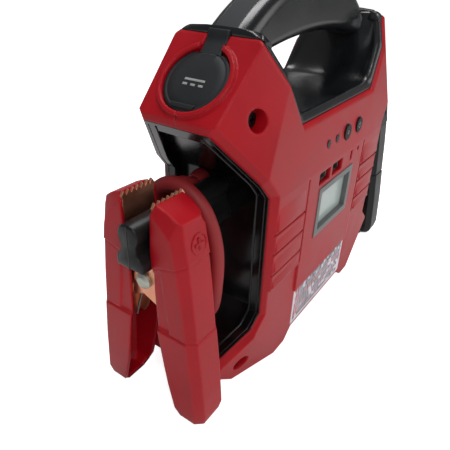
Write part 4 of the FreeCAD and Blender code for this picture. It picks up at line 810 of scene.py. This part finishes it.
add_saddle()
for side in HANDS:
    colour = CLAMP_COLOURS[side]
    add_collar(side)
    for front in ENDS:
        add_cover(side, front, f"{colour}_plastic")
        add_sign(side, front, f"{colour}_plastic")
        add_arm(side, front)
    add_lead(side, f"{colour}_sheath")
    add_spring(side)
    add_post(side)
    add_post_seam(side)
    add_tray_beads(side)
for front in ENDS:
    add_ribs(front)
add_cap_disc()
add_cap_lip()
add_cap_strap()
add_cap_symbol()
add_label_marks()
add_button_marks()


# ---------------------------------------------------------------- floor, lights, camera

def add_floor():
    """A plain pale floor, large enough that its far edge is lost; it glows a little where it is seen."""
    half, glow = 40.0, 0.8
    corners = [(-half, -half, 0), (half, -half, 0), (half, half, 0), (-half, half, 0)]
    mesh = bpy.data.meshes.new("floor")
    mesh.from_pydata(corners, [], [(0, 1, 2, 3)])
    floor = bpy.data.objects.new("floor", mesh)
    bpy.context.scene.collection.objects.link(floor)
    shader = Shader("floor_paper")
    patches = shader.remap(shader.noise(3, 3), 0.3, 0.7, 0, 1)
    tone = shader.mix(patches, (0.93, 0.93, 0.93, 1), (0.96, 0.96, 0.96, 1))
    seen = shader.node("ShaderNodeLightPath").outputs["Is Camera Ray"]
    shader.set(Base_Color=tone, Roughness=0.9, Emission_Color=(1, 1, 1, 1))
    shader.set(Emission_Strength=shader.math("MULTIPLY", seen, glow))
    mesh.materials.append(shader.material)


def add_light(name, place, aim, size, power):
    """A rectangular lamp at a place, turned towards an aim, both in metres."""
    data = bpy.data.lights.new(name, "AREA")
    data.shape = "RECTANGLE"
    data.size, data.size_y = size
    data.energy = power
    light = bpy.data.objects.new(name, data)
    bpy.context.scene.collection.objects.link(light)
    light.location = place
    direction = Vector(aim) - Vector(place)
    light.rotation_euler = direction.to_track_quat("-Z", "Y").to_euler()


def add_world():
    """White surroundings: dim for the light that they give, bright where they are seen."""
    given, seen = 0.21, 1.2
    world = bpy.data.worlds.new("studio")
    bpy.context.scene.world = world
    world.use_nodes = True
    background = world.node_tree.nodes["Background"]
    background.inputs["Color"].default_value = (1, 1, 1, 1)
    tree = world.node_tree
    path = tree.nodes.new("ShaderNodeLightPath")
    share = tree.nodes.new("ShaderNodeMapRange")
    tree.links.new(path.outputs["Is Camera Ray"], share.inputs["Value"])
    share.inputs["To Min"].default_value = given
    share.inputs["To Max"].default_value = seen
    tree.links.new(share.outputs["Result"], background.inputs["Strength"])


def add_camera():
    """A camera ahead and to the left of the case, near enough for a strong perspective."""
    eye = (-0.2694, -0.1349, 0.2328)
    right = Vector((0.5764, -0.8167, 0.0281)).normalized()
    up = Vector((0.4016, 0.3131, 0.8607))
    data = bpy.data.cameras.new("camera")
    data.lens = 36.15
    data.sensor_width = 36
    camera = bpy.data.objects.new("camera", data)
    bpy.context.scene.collection.objects.link(camera)
    up = (up - right * up.dot(right)).normalized()
    back = right.cross(up)
    turn = Matrix((right, up, back)).transposed().to_4x4()
    camera.matrix_world = Matrix.Translation(eye) @ turn
    data.clip_start = 0.01
    bpy.context.scene.camera = camera


add_floor()
add_world()
add_light("key", (-0.9, -0.9, 1.4), (0, 0, 0.1), (0.6, 0.6), 9)
add_light("top", (0.3, 0.1, 1.6), (0, 0, 0.1), (0.9, 0.6), 13)
add_light("streak", (-0.62, -0.75, 0.62), (0.05, -0.02, 0.19), (0.12, 0.5), 1.3)
add_light("front", (0.9, -1.3, 0.5), (0, 0, 0.12), (0.7, 1.2), 5.5)
add_camera()
bpy.context.scene.view_settings.view_transform = "Standard"
